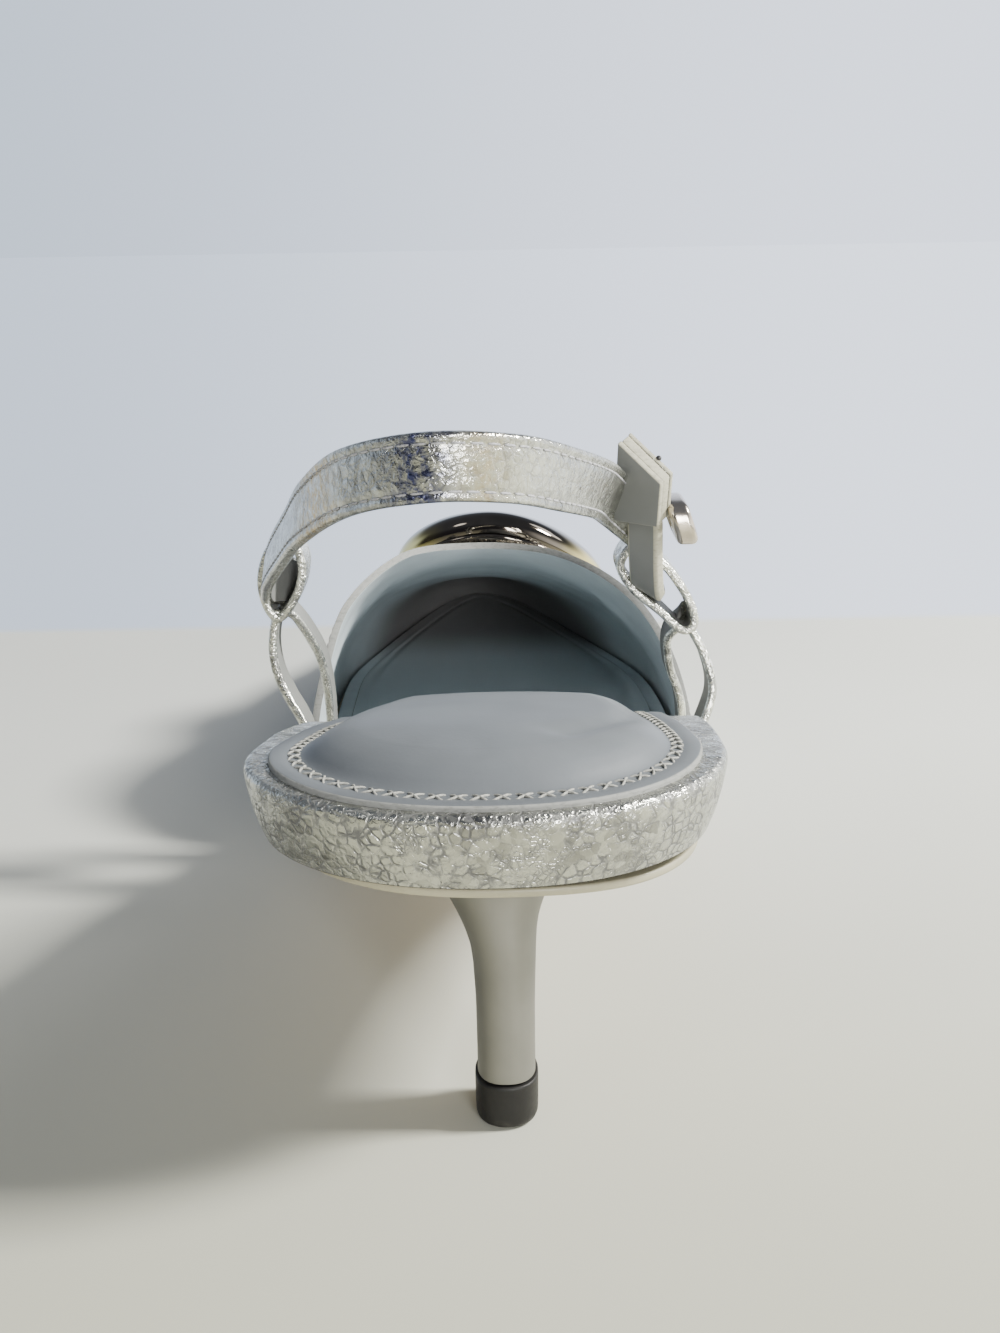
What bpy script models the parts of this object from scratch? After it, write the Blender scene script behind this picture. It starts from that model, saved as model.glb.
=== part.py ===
"""Right slingback pump on a slim metal heel, as separate pieces at real size.

Stations run along the shoe from the back of the seat (0) to the toe tip.
x is lateral, the foot's outer side, and heights start at the floor.
Sizes are in millimetres and become metres when a mesh is made.
"""
import math
from collections import namedtuple

import bmesh
import bpy
import numpy as np

MM = 0.001

# Driving dimensions
LENGTH = 243.0
FIT_GAP = 0.3
OUTSOLE_THICKNESS = 1.8
UPPER_WALL = 1.7
TOP_PIECE_HEIGHT = 6.0

# The last and the sole: tread is the outsole's underside, board the covered insole's thickness,
# medial and lateral the edges from the heel's axis, spine the crown's line, crown the last's height
# above the board's underside
LastRow = namedtuple("LastRow", "station tread board medial lateral spine crown")
LAST = [
    LastRow(0.0, 35.2, 9.5, 29.0, 29.0, 0.0, 80.0),
    LastRow(20.0, 34.7, 9.3, 30.0, 29.8, 0.0, 80.0),
    LastRow(40.0, 33.0, 7.3, 29.6, 31.0, 0.0, 78.0),
    LastRow(58.0, 29.8, 6.2, 27.6, 31.4, 0.0, 74.0),
    LastRow(75.0, 24.2, 5.6, 27.2, 31.4, 0.0, 70.0),
    LastRow(90.0, 17.7, 5.4, 26.2, 31.8, -0.5, 64.5),
    LastRow(105.0, 11.4, 5.1, 26.8, 33.8, -1.0, 58.0),
    LastRow(120.0, 6.2, 4.3, 29.4, 36.0, -1.5, 52.0),
    LastRow(135.0, 2.3, 3.8, 32.4, 37.8, -1.5, 45.5),
    LastRow(152.0, 0.0, 3.6, 34.6, 38.6, -1.0, 38.3),
    LastRow(182.0, 0.0, 3.6, 34.6, 36.4, -0.6, 28.6),
    LastRow(204.0, 0.8, 3.6, 32.2, 31.4, -1.2, 21.2),
    LastRow(224.0, 2.6, 3.6, 29.6, 26.4, -2.0, 15.2),
    LastRow(243.0, 5.4, 3.6, 28.0, 24.0, -3.0, 10.5),
]
SEAT_REACH = 26.0
SEAT_POWER = 2.2
TOE_REACH = 72.0
TOE_POWER = 1.9
TOE_BOX_REACH = 15.0
TOE_BOX_POWER = 2.0

# The vamp's arch across the foot: the roundness of each side, and how far its wings stand out there
ArchRow = namedtuple("ArchRow", "station medial lateral medial_flare lateral_flare")
ARCH = [
    ArchRow(98.0, 1.7, 1.65, 4.0, 1.5),
    ArchRow(120.0, 1.75, 1.67, 3.4, 1.3),
    ArchRow(150.0, 2.3, 1.88, 0.0, 0.0),
    ArchRow(243.0, 2.4, 1.9, 0.0, 0.0),
]
FLARE_START = 0.25
FLARE_FULL = 0.6
FLARE_END = 0.88

# The edge of each plate along the shoe, measured out from the last's edge
MarginRow = namedtuple("MarginRow", "station outsole board sock")
MARGINS = [
    MarginRow(0.0, -3.4, 0.0, -1.8),
    MarginRow(34.0, -3.4, 0.0, -3.8),
    MarginRow(60.0, -3.4, 0.0, -5.6),
    MarginRow(108.0, 0.8, -1.2, -4.4),
    MarginRow(243.0, 2.2, -1.2, -4.4),
]

# Rings up a plate's side: height is a share of its thickness, inset a share of the same
RingRow = namedtuple("RingRow", "height inset")
OUTSOLE_RINGS = [
    RingRow(0.0, 0.35),
    RingRow(0.25, 0.0),
    RingRow(0.8, 0.0),
    RingRow(1.0, 0.2),
]
BOARD_RINGS = [
    RingRow(0.0, 0.25),
    RingRow(0.05, 0.2),
    RingRow(0.3, 0.11),
    RingRow(0.6, 0.04),
    RingRow(0.85, 0.0),
    RingRow(0.94, 0.012),
    RingRow(0.985, 0.05),
    RingRow(1.0, 0.11),
]

# The sock: rings across its face, with the height of its soft heel pad
SockRow = namedtuple("SockRow", "inset height pad")
SOCK_RINGS = [
    SockRow(0.0, 0.0, 0.0),
    SockRow(0.0, 0.9, 0.0),
    SockRow(0.4, 1.2, 0.0),
    SockRow(5.0, 1.2, 0.1),
    SockRow(7.0, 1.2, 1.0),
    SockRow(10.5, 1.2, 2.4),
]
PAD_START = 60.0
PAD_END = 95.0

# The vamp's throat: where its edge lies at the crown and at the feather line
THROAT_CROWN = 144.0
THROAT_SIDE = 98.0
THROAT_POWER = 1.6

# The heel's sections: height is a share of the way from the top piece to the sole
HeelRow = namedtuple("HeelRow", "height x half_width back front")
HEEL = [
    HeelRow(0.0, 1.9, 3.65, 11.6, 20.6),
    HeelRow(0.3, 1.9, 3.68, 11.4, 20.5),
    HeelRow(0.5, 1.85, 3.85, 11.2, 20.9),
    HeelRow(0.6, 1.75, 4.05, 11.1, 21.6),
    HeelRow(0.68, 1.5, 4.45, 11.0, 22.8),
    HeelRow(0.75, 1.25, 5.1, 11.0, 24.6),
    HeelRow(0.85, 1.0, 6.5, 11.0, 27.8),
    HeelRow(0.94, 0.8, 8.1, 10.8, 31.2),
    HeelRow(1.0, 0.7, 9.4, 10.4, 34.0),
]
TOP_PIECE = [
    HeelRow(0.0, 1.9, 3.3, 12.1, 20.1),
    HeelRow(0.05, 1.9, 3.75, 11.5, 20.7),
    HeelRow(0.16, 1.9, 3.95, 11.25, 20.95),
    HeelRow(1.0, 1.9, 4.0, 11.2, 21.0),
]
HEEL_SECTION_POWER = 2.4

# Bands: the centre line of each strap, from end to end. lean turns a band about its own line, in degrees
BandRow = namedtuple("BandRow", "x station height lean", defaults=[0.0])
BAND_EDGE_SHARE = 0.6
SLING_WIDTH = 8.0
SLING_THICKNESS = 1.7
SLING = [
    BandRow(-33.5, 88.5, 52.0),
    BandRow(-33.5, 82.0, 53.6),
    BandRow(-31.4, 71.0, 58.8),
    BandRow(-27.8, 56.0, 66.4),
    BandRow(-23.2, 42.0, 72.8),
    BandRow(-16.0, 26.0, 79.2),
    BandRow(-6.0, 16.5, 82.4),
    BandRow(4.0, 20.5, 81.4, 6.0),
    BandRow(10.8, 32.0, 77.6, 16.0),
    BandRow(15.6, 46.0, 73.0, 24.0),
    BandRow(18.0, 60.0, 69.6, 20.0),
    BandRow(18.5, 70.0, 67.4, 10.0),
]
EYE_WIDTH = 7.5
LEG_WIDTH = 6.0
QUARTER_THICKNESS = 1.8
MEDIAL_EYE = [
    BandRow(-33.4, 86.0, 43.8),
    BandRow(-35.2, 86.0, 44.8),
    BandRow(-36.0, 86.0, 48.4),
    BandRow(-36.2, 86.0, 52.4),
    BandRow(-35.6, 86.0, 57.0),
    BandRow(-33.0, 86.0, 60.0),
    BandRow(-30.4, 86.0, 58.4),
    BandRow(-29.8, 86.0, 54.5),
    BandRow(-31.0, 86.0, 48.8),
]
MEDIAL_BACK_LEG = [
    BandRow(-34.4, 86.0, 44.4),
    BandRow(-33.8, 85.5, 39.0),
    BandRow(-32.2, 84.0, 33.5),
    BandRow(-29.0, 82.5, 28.0),
    BandRow(-28.3, 81.5, 24.4),
]
MEDIAL_FRONT_LEG = [
    BandRow(-33.2, 87.0, 46.4),
    BandRow(-29.6, 91.0, 41.5),
    BandRow(-27.6, 93.0, 36.0),
    BandRow(-27.2, 94.0, 29.0),
    BandRow(-27.3, 94.2, 19.0),
]
LATERAL_EYE = [
    BandRow(31.4, 86.0, 44.4),
    BandRow(27.8, 86.0, 47.6),
    BandRow(23.4, 86.0, 51.4),
    BandRow(21.4, 86.0, 55.4),
    BandRow(24.0, 86.0, 58.4),
    BandRow(28.6, 86.0, 55.0),
    BandRow(32.4, 86.0, 49.4),
    BandRow(33.4, 86.0, 45.4),
]
LATERAL_BACK_LEG = [
    BandRow(32.8, 86.0, 44.6),
    BandRow(35.4, 85.5, 39.5),
    BandRow(36.4, 84.0, 34.0),
    BandRow(34.4, 82.5, 28.0),
    BandRow(33.2, 81.5, 24.4),
]
LATERAL_FRONT_LEG = [
    BandRow(31.8, 87.0, 45.6),
    BandRow(30.0, 91.0, 41.5),
    BandRow(30.4, 93.0, 36.0),
    BandRow(32.6, 94.0, 29.0),
    BandRow(33.2, 94.2, 19.0),
]
BUCKLE_STRAP_WIDTH = 5.8
BUCKLE_STRAP_THICKNESS = 1.6
BUCKLE_STRAP_SLANT = (0.85, 0.0, -0.5)
BUCKLE_STRAP = [
    BandRow(24.6, 72.6, 64.0),
    BandRow(24.8, 75.0, 59.0),
    BandRow(25.2, 79.5, 54.6),
    BandRow(25.8, 86.0, 52.6),
    BandRow(26.0, 91.0, 52.2),
]

# The strap's free end: a short layered stack with a slanting top
STACK_MIDDLE = BandRow(24.4, 72.0, 64.6)
STACK_WIDTH = 7.8
STACK_THICKNESS = 3.0
STACK_INNER_LENGTH = 15.4
STACK_OUTER_LENGTH = 8.4
STACK_TILT = 30.0
STACK_ROUNDING = 0.5

# The buckle, on the stack's outer side
BUCKLE_CENTRE = BandRow(30.0, 70.5, 66.5)
BUCKLE_LENGTH = 10.0
BUCKLE_HEIGHT = 7.0
BUCKLE_BAR_WIDTH = 2.4
BUCKLE_BAR_THICKNESS = 1.8
BUCKLE_STEPS = 12
BUCKLE_SQUARENESS = 0.5
PRONG_DIAMETER = 1.2

# The ornament on the vamp: a domed oval in a thin rim
ORNAMENT_X = 2.6
ORNAMENT_STATION = 161.0
ORNAMENT_HALF_WIDTH = 24.0
ORNAMENT_HALF_LENGTH = 16.5
ORNAMENT_EDGE = 1.2
ORNAMENT_DOME = 9.0
ORNAMENT_GAP = 0.45
DOME_POWER = 3.0
DOME_SHARE = 0.93
DOME_UNDER_SHARES = (0.05, 0.35, 0.7, 1.0)
DOME_TOP_SHARES = (1.0, 0.96, 0.86, 0.7, 0.5, 0.28, 0.05)
RIM_SHARE = 0.955
RIM_HEIGHT = 1.6

# Each material's colour, roughness and metallic share
MaterialRow = namedtuple("MaterialRow", "colour roughness metallic")
MATERIALS = {
    "silver_leather": MaterialRow((0.78, 0.78, 0.79), 0.38, 0.8),
    "sole_leather": MaterialRow((0.66, 0.58, 0.44), 0.5, 0.0),
    "grey_lining": MaterialRow((0.48, 0.5, 0.53), 0.55, 0.0),
    "satin_metal": MaterialRow((0.72, 0.7, 0.66), 0.25, 1.0),
    "polished_metal": MaterialRow((0.6, 0.58, 0.52), 0.06, 1.0),
    "gilt_rim": MaterialRow((0.55, 0.47, 0.22), 0.2, 1.0),
    "black_rubber": MaterialRow((0.02, 0.02, 0.02), 0.6, 0.0),
}
SHARP_ANGLE = 40.0


def column(rows, name, station):
    """A table's column at any station, as a smooth curve that never overshoots its rows."""
    at = np.array([row.station for row in rows])
    value = np.array([getattr(row, name) for row in rows])
    station = np.clip(np.asarray(station, dtype=float), at[0], at[-1])
    step = np.diff(at)
    slope = np.diff(value) / step
    tangent = np.zeros(len(at))
    same_way = slope[:-1] * slope[1:] > 0.0
    product = slope[:-1] * slope[1:] * same_way
    total = np.where(same_way, slope[:-1] + slope[1:], 1.0)
    tangent[1:-1] = 2.0 * product / total
    tangent[0] = slope[0]
    tangent[-1] = slope[-1]
    span = np.clip(np.searchsorted(at, station, side="right") - 1, 0, len(step) - 1)
    t = (station - at[span]) / step[span]
    rise = value[span + 1] - value[span]
    start = tangent[span] * step[span]
    end = tangent[span + 1] * step[span]
    return value[span] + start * t + (3 * rise - 2 * start - end) * t**2 + (start + end - 2 * rise) * t**3


def last(name, station):
    return column(LAST, name, station)


def soft_rise(low, high, value):
    """0 below low and 1 above high, with a soft rise between them."""
    t = np.clip((np.asarray(value, dtype=float) - low) / (high - low), 0.0, 1.0)
    return t * t * (3.0 - 2.0 * t)


def round_end(distance, reach, power):
    """Share of the full size at a distance from a rounded end."""
    u = np.clip(np.asarray(distance, dtype=float) / reach, 0.0, 1.0)
    return (1.0 - (1.0 - u) ** power) ** (1.0 / power)


def edge(side, station, skin=0.0):
    """x of the last's edge on a side (1 lateral, -1 medial), with a skin added round it."""
    spine = last("spine", station)
    reach = last("lateral" if side > 0 else "medial", station) + skin
    seat = round_end(np.asarray(station) + skin, SEAT_REACH, SEAT_POWER)
    toe = round_end(LENGTH + skin - np.asarray(station), TOE_REACH, TOE_POWER)
    return spine + (side * reach - spine) * seat * toe


def board_under(station):
    """Height of the covered insole's underside, which the vamp's edge shares."""
    return last("tread", station) + OUTSOLE_THICKNESS + FIT_GAP


def board_top(station):
    return board_under(station) + last("board", station)


def plan_ring(margin, steps=44):
    """The last's outline moved out by a margin: x and station of each point, heel, lateral, toe, medial."""
    share = (1.0 - np.cos(np.linspace(0.0, math.pi, steps + 1))) / 2.0
    stations = LENGTH * share
    x = np.concatenate([edge(1, stations), edge(-1, stations[-2:0:-1])])
    s = np.concatenate([stations, stations[-2:0:-1]])
    along_x = np.roll(x, -1) - np.roll(x, 1)
    along_s = np.roll(s, -1) - np.roll(s, 1)
    size = np.hypot(along_x, along_s)
    out = margin(s)
    return x + out * along_s / size, s - out * along_x / size


def make_object(name, vertices, faces, material):
    """A named mesh object with its faces turned outwards."""
    mesh = bpy.data.meshes.new(name)
    mesh.from_pydata([tuple(point * MM for point in vertex) for vertex in vertices], [], faces)
    shape = bmesh.new()
    shape.from_mesh(mesh)
    bmesh.ops.recalc_face_normals(shape, faces=shape.faces)
    if shape.calc_volume(signed=True) < 0.0:
        bmesh.ops.reverse_faces(shape, faces=shape.faces)
    shape.to_mesh(mesh)
    shape.free()
    mesh.materials.append(material)
    mesh.shade_smooth()
    mesh.set_sharp_from_angle(angle=math.radians(SHARP_ANGLE))
    part = bpy.data.objects.new(name, mesh)
    bpy.context.collection.objects.link(part)
    return part


def make_material(name):
    row = MATERIALS[name]
    material = bpy.data.materials.new(name)
    material.use_nodes = True
    shader = material.node_tree.nodes["Principled BSDF"]
    shader.inputs["Base Color"].default_value = (*row.colour, 1.0)
    shader.inputs["Roughness"].default_value = row.roughness
    shader.inputs["Metallic"].default_value = row.metallic
    return material


def ring_walls(ring_count, size):
    """Quads between rings of one size that follow each other in a vertex list."""
    faces = []
    for ring in range(ring_count - 1):
        for point in range(size):
            after = (point + 1) % size
            low, high = ring * size, (ring + 1) * size
            faces.append((low + point, low + after, high + after, high + point))
    return faces


def ladder_cap(first, size):
    """A cap over a plan ring: each lateral point is tied to the medial point at its station."""
    half = size // 2
    faces = [(first, first + 1, first + size - 1)]
    for step in range(1, half - 1):
        faces.append((first + step, first + step + 1, first + size - step - 1, first + size - step))
    faces.append((first + half - 1, first + half, first + half + 1))
    return faces


def plate(name, rings, material):
    """A plate of plan rings, each an array of x, station and height, closed by two caps."""
    size = len(rings[0][0])
    vertices = [vertex for ring in rings for vertex in zip(*ring)]
    faces = ring_walls(len(rings), size)
    faces += ladder_cap(0, size)
    faces += ladder_cap((len(rings) - 1) * size, size)
    return make_object(name, vertices, faces, material)


def make_outsole(material):
    rings = []
    for row in OUTSOLE_RINGS:
        inset = row.inset * OUTSOLE_THICKNESS
        x, s = plan_ring(lambda station: column(MARGINS, "outsole", station) - inset)
        rings.append((x, s, last("tread", s) + row.height * OUTSOLE_THICKNESS))
    return plate("outsole", rings, material)


def make_covered_insole(material):
    rings = []
    for row in BOARD_RINGS:
        def margin(station, inset=row.inset):
            return column(MARGINS, "board", station) - inset * last("board", station)

        x, s = plan_ring(margin)
        rings.append((x, s, board_under(s) + row.height * last("board", s)))
    return plate("covered_insole", rings, material)


def pad_share(station):
    """The heel pad's height along the shoe: full over the seat, gone at the arch."""
    return 1.0 - soft_rise(PAD_START, PAD_END, station)


def make_insole_sock(material):
    rings = []
    for row in SOCK_RINGS:
        x, s = plan_ring(lambda station: column(MARGINS, "sock", station) - row.inset)
        rings.append((x, s, board_top(s) + FIT_GAP + row.height + row.pad * pad_share(s)))
    return plate("insole_sock", rings, material)


def wall_point(station, across, skin):
    """A point of the upper: across runs from -1 at the medial feather line over the crown to 1."""
    spine = last("spine", station)
    side = edge(1 if across > 0 else -1, station, skin)
    crown = last("crown", station) + skin
    crown = crown * round_end(LENGTH + skin - station, TOE_BOX_REACH, TOE_BOX_POWER)
    side_name = "lateral" if across > 0 else "medial"
    power = 2.0 / column(ARCH, side_name, station)
    turn = abs(across) * math.pi / 2.0
    standing_out = soft_rise(FLARE_START, FLARE_FULL, abs(across)) * soft_rise(1.0, FLARE_END, abs(across))
    flare = math.copysign(column(ARCH, side_name + "_flare", station), across) * standing_out
    x = spine + (side - spine) * math.sin(turn) ** power + flare
    z = board_under(station) + crown * max(math.cos(turn), 0.0) ** power
    return float(x), float(station), float(z)


def throat_station(across):
    rise = max(math.cos(across * math.pi / 2.0), 0.0) ** THROAT_POWER
    return THROAT_SIDE + (THROAT_CROWN - THROAT_SIDE) * rise


def make_vamp(material, around=26, along=22):
    """One hollow wall from the throat to the toe, open at the throat and underneath."""
    row_size = around + 1
    vertices = []
    for skin in (UPPER_WALL, 0.0):
        for step in range(along):
            share = math.sin(step / along * math.pi / 2.0)
            for point in range(row_size):
                across = 2.0 * point / around - 1.0
                start = throat_station(across)
                station = start + (LENGTH + skin - start) * share
                vertices.append(wall_point(station, across, skin))
    skin_size = along * row_size
    tips = []
    for skin in (UPPER_WALL, 0.0):
        tips.append(len(vertices))
        vertices.append((float(last("spine", LENGTH)), LENGTH + skin, float(board_under(LENGTH))))
    faces = []
    for layer in (0, skin_size):
        tip = tips[0] if layer == 0 else tips[1]
        for step in range(along - 1):
            for point in range(around):
                low = layer + step * row_size + point
                faces.append((low, low + 1, low + row_size + 1, low + row_size))
        final = layer + (along - 1) * row_size
        for point in range(around):
            faces.append((final + point, final + point + 1, tip))
    for point in range(around):
        faces.append((point, point + 1, skin_size + point + 1, skin_size + point))
    for side in (0, around):
        for step in range(along - 1):
            low = step * row_size + side
            faces.append((low, low + row_size, skin_size + low + row_size, skin_size + low))
        final = (along - 1) * row_size + side
        faces.append((final, tips[0], tips[1], skin_size + final))
    return make_object("vamp", vertices, faces, material)


def heel_ring(row, points=20):
    """A rounded section of the heel: x and station of its points."""
    turn = np.linspace(0.0, 2.0 * math.pi, points, endpoint=False)
    power = 2.0 / HEEL_SECTION_POWER
    x = np.sign(np.cos(turn)) * np.abs(np.cos(turn)) ** power * row.half_width
    s = np.sign(np.sin(turn)) * np.abs(np.sin(turn)) ** power * (row.front - row.back) / 2.0
    return row.x + x, s + (row.front + row.back) / 2.0


def column_of_rings(name, rings, material):
    """A solid through rings of points, with a flat or sloping face at each end."""
    size = len(rings[0][0])
    vertices = [vertex for ring in rings for vertex in zip(*ring)]
    faces = ring_walls(len(rings), size)
    faces.append(tuple(range(size)))
    faces.append(tuple(range((len(rings) - 1) * size, len(rings) * size)))
    return make_object(name, vertices, faces, material)


def make_heel(material):
    rings = []
    foot = TOP_PIECE_HEIGHT + FIT_GAP
    for row in HEEL:
        x, s = heel_ring(row)
        rings.append((x, s, foot + row.height * (last("tread", s) - FIT_GAP - foot)))
    return column_of_rings("heel", rings, material)


def make_top_piece(material):
    rings = []
    for row in TOP_PIECE:
        x, s = heel_ring(row)
        rings.append((x, s, np.full(len(x), row.height * TOP_PIECE_HEIGHT)))
    return column_of_rings("top_piece", rings, material)


def smooth_path(rows, closed, between):
    """Points on a smooth curve through a band's rows, each with the band's lean there."""
    points = np.array(rows)
    if closed:
        before, after = np.roll(points, 1, axis=0), np.roll(points, -1, axis=0)
        spans = range(len(points))
    else:
        before = np.vstack([2 * points[0] - points[1], points[:-1]])
        after = np.vstack([points[1:], 2 * points[-1] - points[-2]])
        spans = range(len(points) - 1)
    tangent = (after - before) / 2.0
    path = []
    for span in spans:
        following = (span + 1) % len(points)
        rise = points[following] - points[span]
        for step in range(between):
            t = step / between
            path.append(
                points[span]
                + tangent[span] * t
                + (3 * rise - 2 * tangent[span] - tangent[following]) * t**2
                + (tangent[span] + tangent[following] - 2 * rise) * t**3
            )
    if not closed:
        path.append(points[-1])
    return np.array(path)


def band(name, rows, width, thickness, upright, material, closed=False, between=4):
    """A flat strap along a path. upright is the direction that its width keeps to."""
    curve = smooth_path(rows, closed, between)
    path, lean = curve[:, :3], np.radians(curve[:, 3:])
    if closed:
        along = np.roll(path, -1, axis=0) - np.roll(path, 1, axis=0)
    else:
        along = np.gradient(path, axis=0)
    along /= np.linalg.norm(along, axis=1)[:, None]
    face = np.cross(along, np.array(upright, dtype=float))
    face /= np.linalg.norm(face, axis=1)[:, None]
    across = np.cross(face, along)
    across, face = across * np.cos(lean) + face * np.sin(lean), face * np.cos(lean) - across * np.sin(lean)
    half_width, half_thickness = width / 2.0, thickness / 2.0
    round_over = half_thickness * BAND_EDGE_SHARE
    corners = [
        (-half_width + round_over, -half_thickness),
        (half_width - round_over, -half_thickness),
        (half_width, 0.0),
        (half_width - round_over, half_thickness),
        (-half_width + round_over, half_thickness),
        (-half_width, 0.0),
    ]
    vertices = []
    for point, side, out in zip(path, across, face):
        for wide, deep in corners:
            vertices.append(tuple(point + side * wide + out * deep))
    size = len(corners)
    faces = ring_walls(len(path), size)
    if closed:
        last_ring = (len(path) - 1) * size
        for corner in range(size):
            after = (corner + 1) % size
            faces.append((last_ring + corner, last_ring + after, after, corner))
    else:
        faces.append(tuple(range(size)))
        faces.append(tuple(range((len(path) - 1) * size, len(path) * size)))
    return make_object(name, vertices, faces, material)


def join(name, pieces):
    """One solid from pieces that run into each other."""
    whole = pieces[0]
    for piece in pieces[1:]:
        union = whole.modifiers.new("union", "BOOLEAN")
        union.operation = "UNION"
        union.solver = "MANIFOLD"
        union.object = piece
        bpy.context.view_layer.objects.active = whole
        bpy.ops.object.modifier_apply(modifier=union.name)
        bpy.data.objects.remove(piece, do_unlink=True)
    whole.name = name
    whole.data.name = name
    return whole


def make_quarter_loop(name, eye, back_leg, front_leg, material):
    """A forked quarter: two legs from the sole's edge, and an eye for the strap at the top."""
    along_shoe = (0.0, 1.0, 0.0)
    pieces = [
        band("eye", eye, EYE_WIDTH, QUARTER_THICKNESS, along_shoe, material, closed=True, between=3),
        band("back_leg", back_leg, LEG_WIDTH, QUARTER_THICKNESS, along_shoe, material),
        band("front_leg", front_leg, LEG_WIDTH, QUARTER_THICKNESS, along_shoe, material),
    ]
    return join(name, pieces)


def make_strap_end(material):
    """The strap's free end: a stack that tips back, its end cut on a slant down to the outer side."""
    tilt = math.radians(STACK_TILT)
    vertices = []
    for side, length in ((-1, STACK_INNER_LENGTH), (1, STACK_OUTER_LENGTH)):
        for face in (-1, 1):
            for along in (0.0, length):
                out = face * STACK_THICKNESS / 2.0
                x = STACK_MIDDLE.x + side * STACK_WIDTH / 2.0
                s = STACK_MIDDLE.station + out * math.cos(tilt) - along * math.sin(tilt)
                z = STACK_MIDDLE.height + out * math.sin(tilt) + along * math.cos(tilt)
                vertices.append((x, s, z))
    faces = [(0, 1, 3, 2), (4, 5, 7, 6), (0, 1, 5, 4), (2, 3, 7, 6), (1, 3, 7, 5), (0, 2, 6, 4)]
    stack = make_object("strap_end", vertices, faces, material)
    rounding = stack.modifiers.new("rounding", "BEVEL")
    rounding.width = STACK_ROUNDING * MM
    rounding.segments = 2
    return stack


def make_buckle(material):
    """A rounded frame and the prong that lies in it."""
    half_length, half_height = BUCKLE_LENGTH / 2.0, BUCKLE_HEIGHT / 2.0
    rows = []
    for step in range(BUCKLE_STEPS):
        turn = 2.0 * math.pi * step / BUCKLE_STEPS
        along = math.copysign(abs(math.cos(turn)) ** BUCKLE_SQUARENESS, math.cos(turn)) * half_length
        up = math.copysign(abs(math.sin(turn)) ** BUCKLE_SQUARENESS, math.sin(turn)) * half_height
        rows.append(BandRow(BUCKLE_CENTRE.x, BUCKLE_CENTRE.station + along, BUCKLE_CENTRE.height + up))
    outwards = (1.0, 0.0, 0.0)
    width, thickness = BUCKLE_BAR_WIDTH, BUCKLE_BAR_THICKNESS
    band("buckle_frame", rows, width, thickness, outwards, material, closed=True, between=2)
    reach = half_length - BUCKLE_BAR_THICKNESS / 2.0 - FIT_GAP
    ends = (BUCKLE_CENTRE.station - reach, BUCKLE_CENTRE.station + reach)
    rows = [BandRow(BUCKLE_CENTRE.x, station, BUCKLE_CENTRE.height) for station in ends]
    band("buckle_prong", rows, PRONG_DIAMETER, PRONG_DIAMETER, outwards, material)


def vamp_height(x, station):
    """Height of the vamp's outer face over a point of the plan."""
    spine = last("spine", station)
    side = np.where(x > spine, edge(1, station, UPPER_WALL), edge(-1, station, UPPER_WALL))
    share = np.clip(np.abs((x - spine) / (side - spine)), 0.0, 1.0)
    crown = last("crown", station) + UPPER_WALL
    crown = crown * round_end(LENGTH + UPPER_WALL - station, TOE_BOX_REACH, TOE_BOX_POWER)
    power = np.where(x > spine, column(ARCH, "lateral", station), column(ARCH, "medial", station))
    return board_under(station) + crown * (1.0 - share**power) ** (1.0 / power)


def ornament_ring(share, rise, points=32):
    """An oval ring over the vamp, at a share of the ornament's size and a rise above the leather."""
    turn = np.linspace(0.0, 2.0 * math.pi, points, endpoint=False)
    x = ORNAMENT_X + share * ORNAMENT_HALF_WIDTH * np.cos(turn)
    s = ORNAMENT_STATION + share * ORNAMENT_HALF_LENGTH * np.sin(turn)
    return x, s, vamp_height(x, s) + rise


def make_ornament(dome_material, rim_material):
    """The dome, hollowed underneath to the vamp's shape, and the rim that runs round it."""
    under = ORNAMENT_GAP
    rings = [ornament_ring(share * DOME_SHARE, under) for share in DOME_UNDER_SHARES]
    for share in DOME_TOP_SHARES:
        bulge = (1.0 - share**DOME_POWER) ** (1.0 / DOME_POWER)
        rise = ORNAMENT_EDGE + (ORNAMENT_DOME - ORNAMENT_EDGE) * bulge
        rings.append(ornament_ring(share * DOME_SHARE, under + rise))
    column_of_rings("vamp_ornament", rings, dome_material)
    rings = [
        ornament_ring(RIM_SHARE, under),
        ornament_ring(1.0, under),
        ornament_ring(1.0, under + RIM_HEIGHT),
        ornament_ring(RIM_SHARE, under + RIM_HEIGHT),
    ]
    size = len(rings[0][0])
    vertices = [vertex for ring in rings for vertex in zip(*ring)]
    faces = ring_walls(len(rings), size)
    first = (len(rings) - 1) * size
    for point in range(size):
        after = (point + 1) % size
        faces.append((first + point, first + after, after, point))
    make_object("ornament_rim", vertices, faces, rim_material)


def centre_on_origin():
    """Stand the shoe on the origin, with the middle of its plan box there."""
    corners = []
    for part in bpy.data.objects:
        corners += [vertex.co.to_tuple() for vertex in part.data.vertices]
    low, high = np.min(corners, axis=0), np.max(corners, axis=0)
    root = bpy.data.objects.new("shoe", None)
    for part in list(bpy.data.objects):
        if part.type == "MESH":
            part.parent = root
    bpy.context.collection.objects.link(root)
    root.location = (-(low[0] + high[0]) / 2.0, -(low[1] + high[1]) / 2.0, 0.0)
    bpy.context.view_layer.update()


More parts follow.
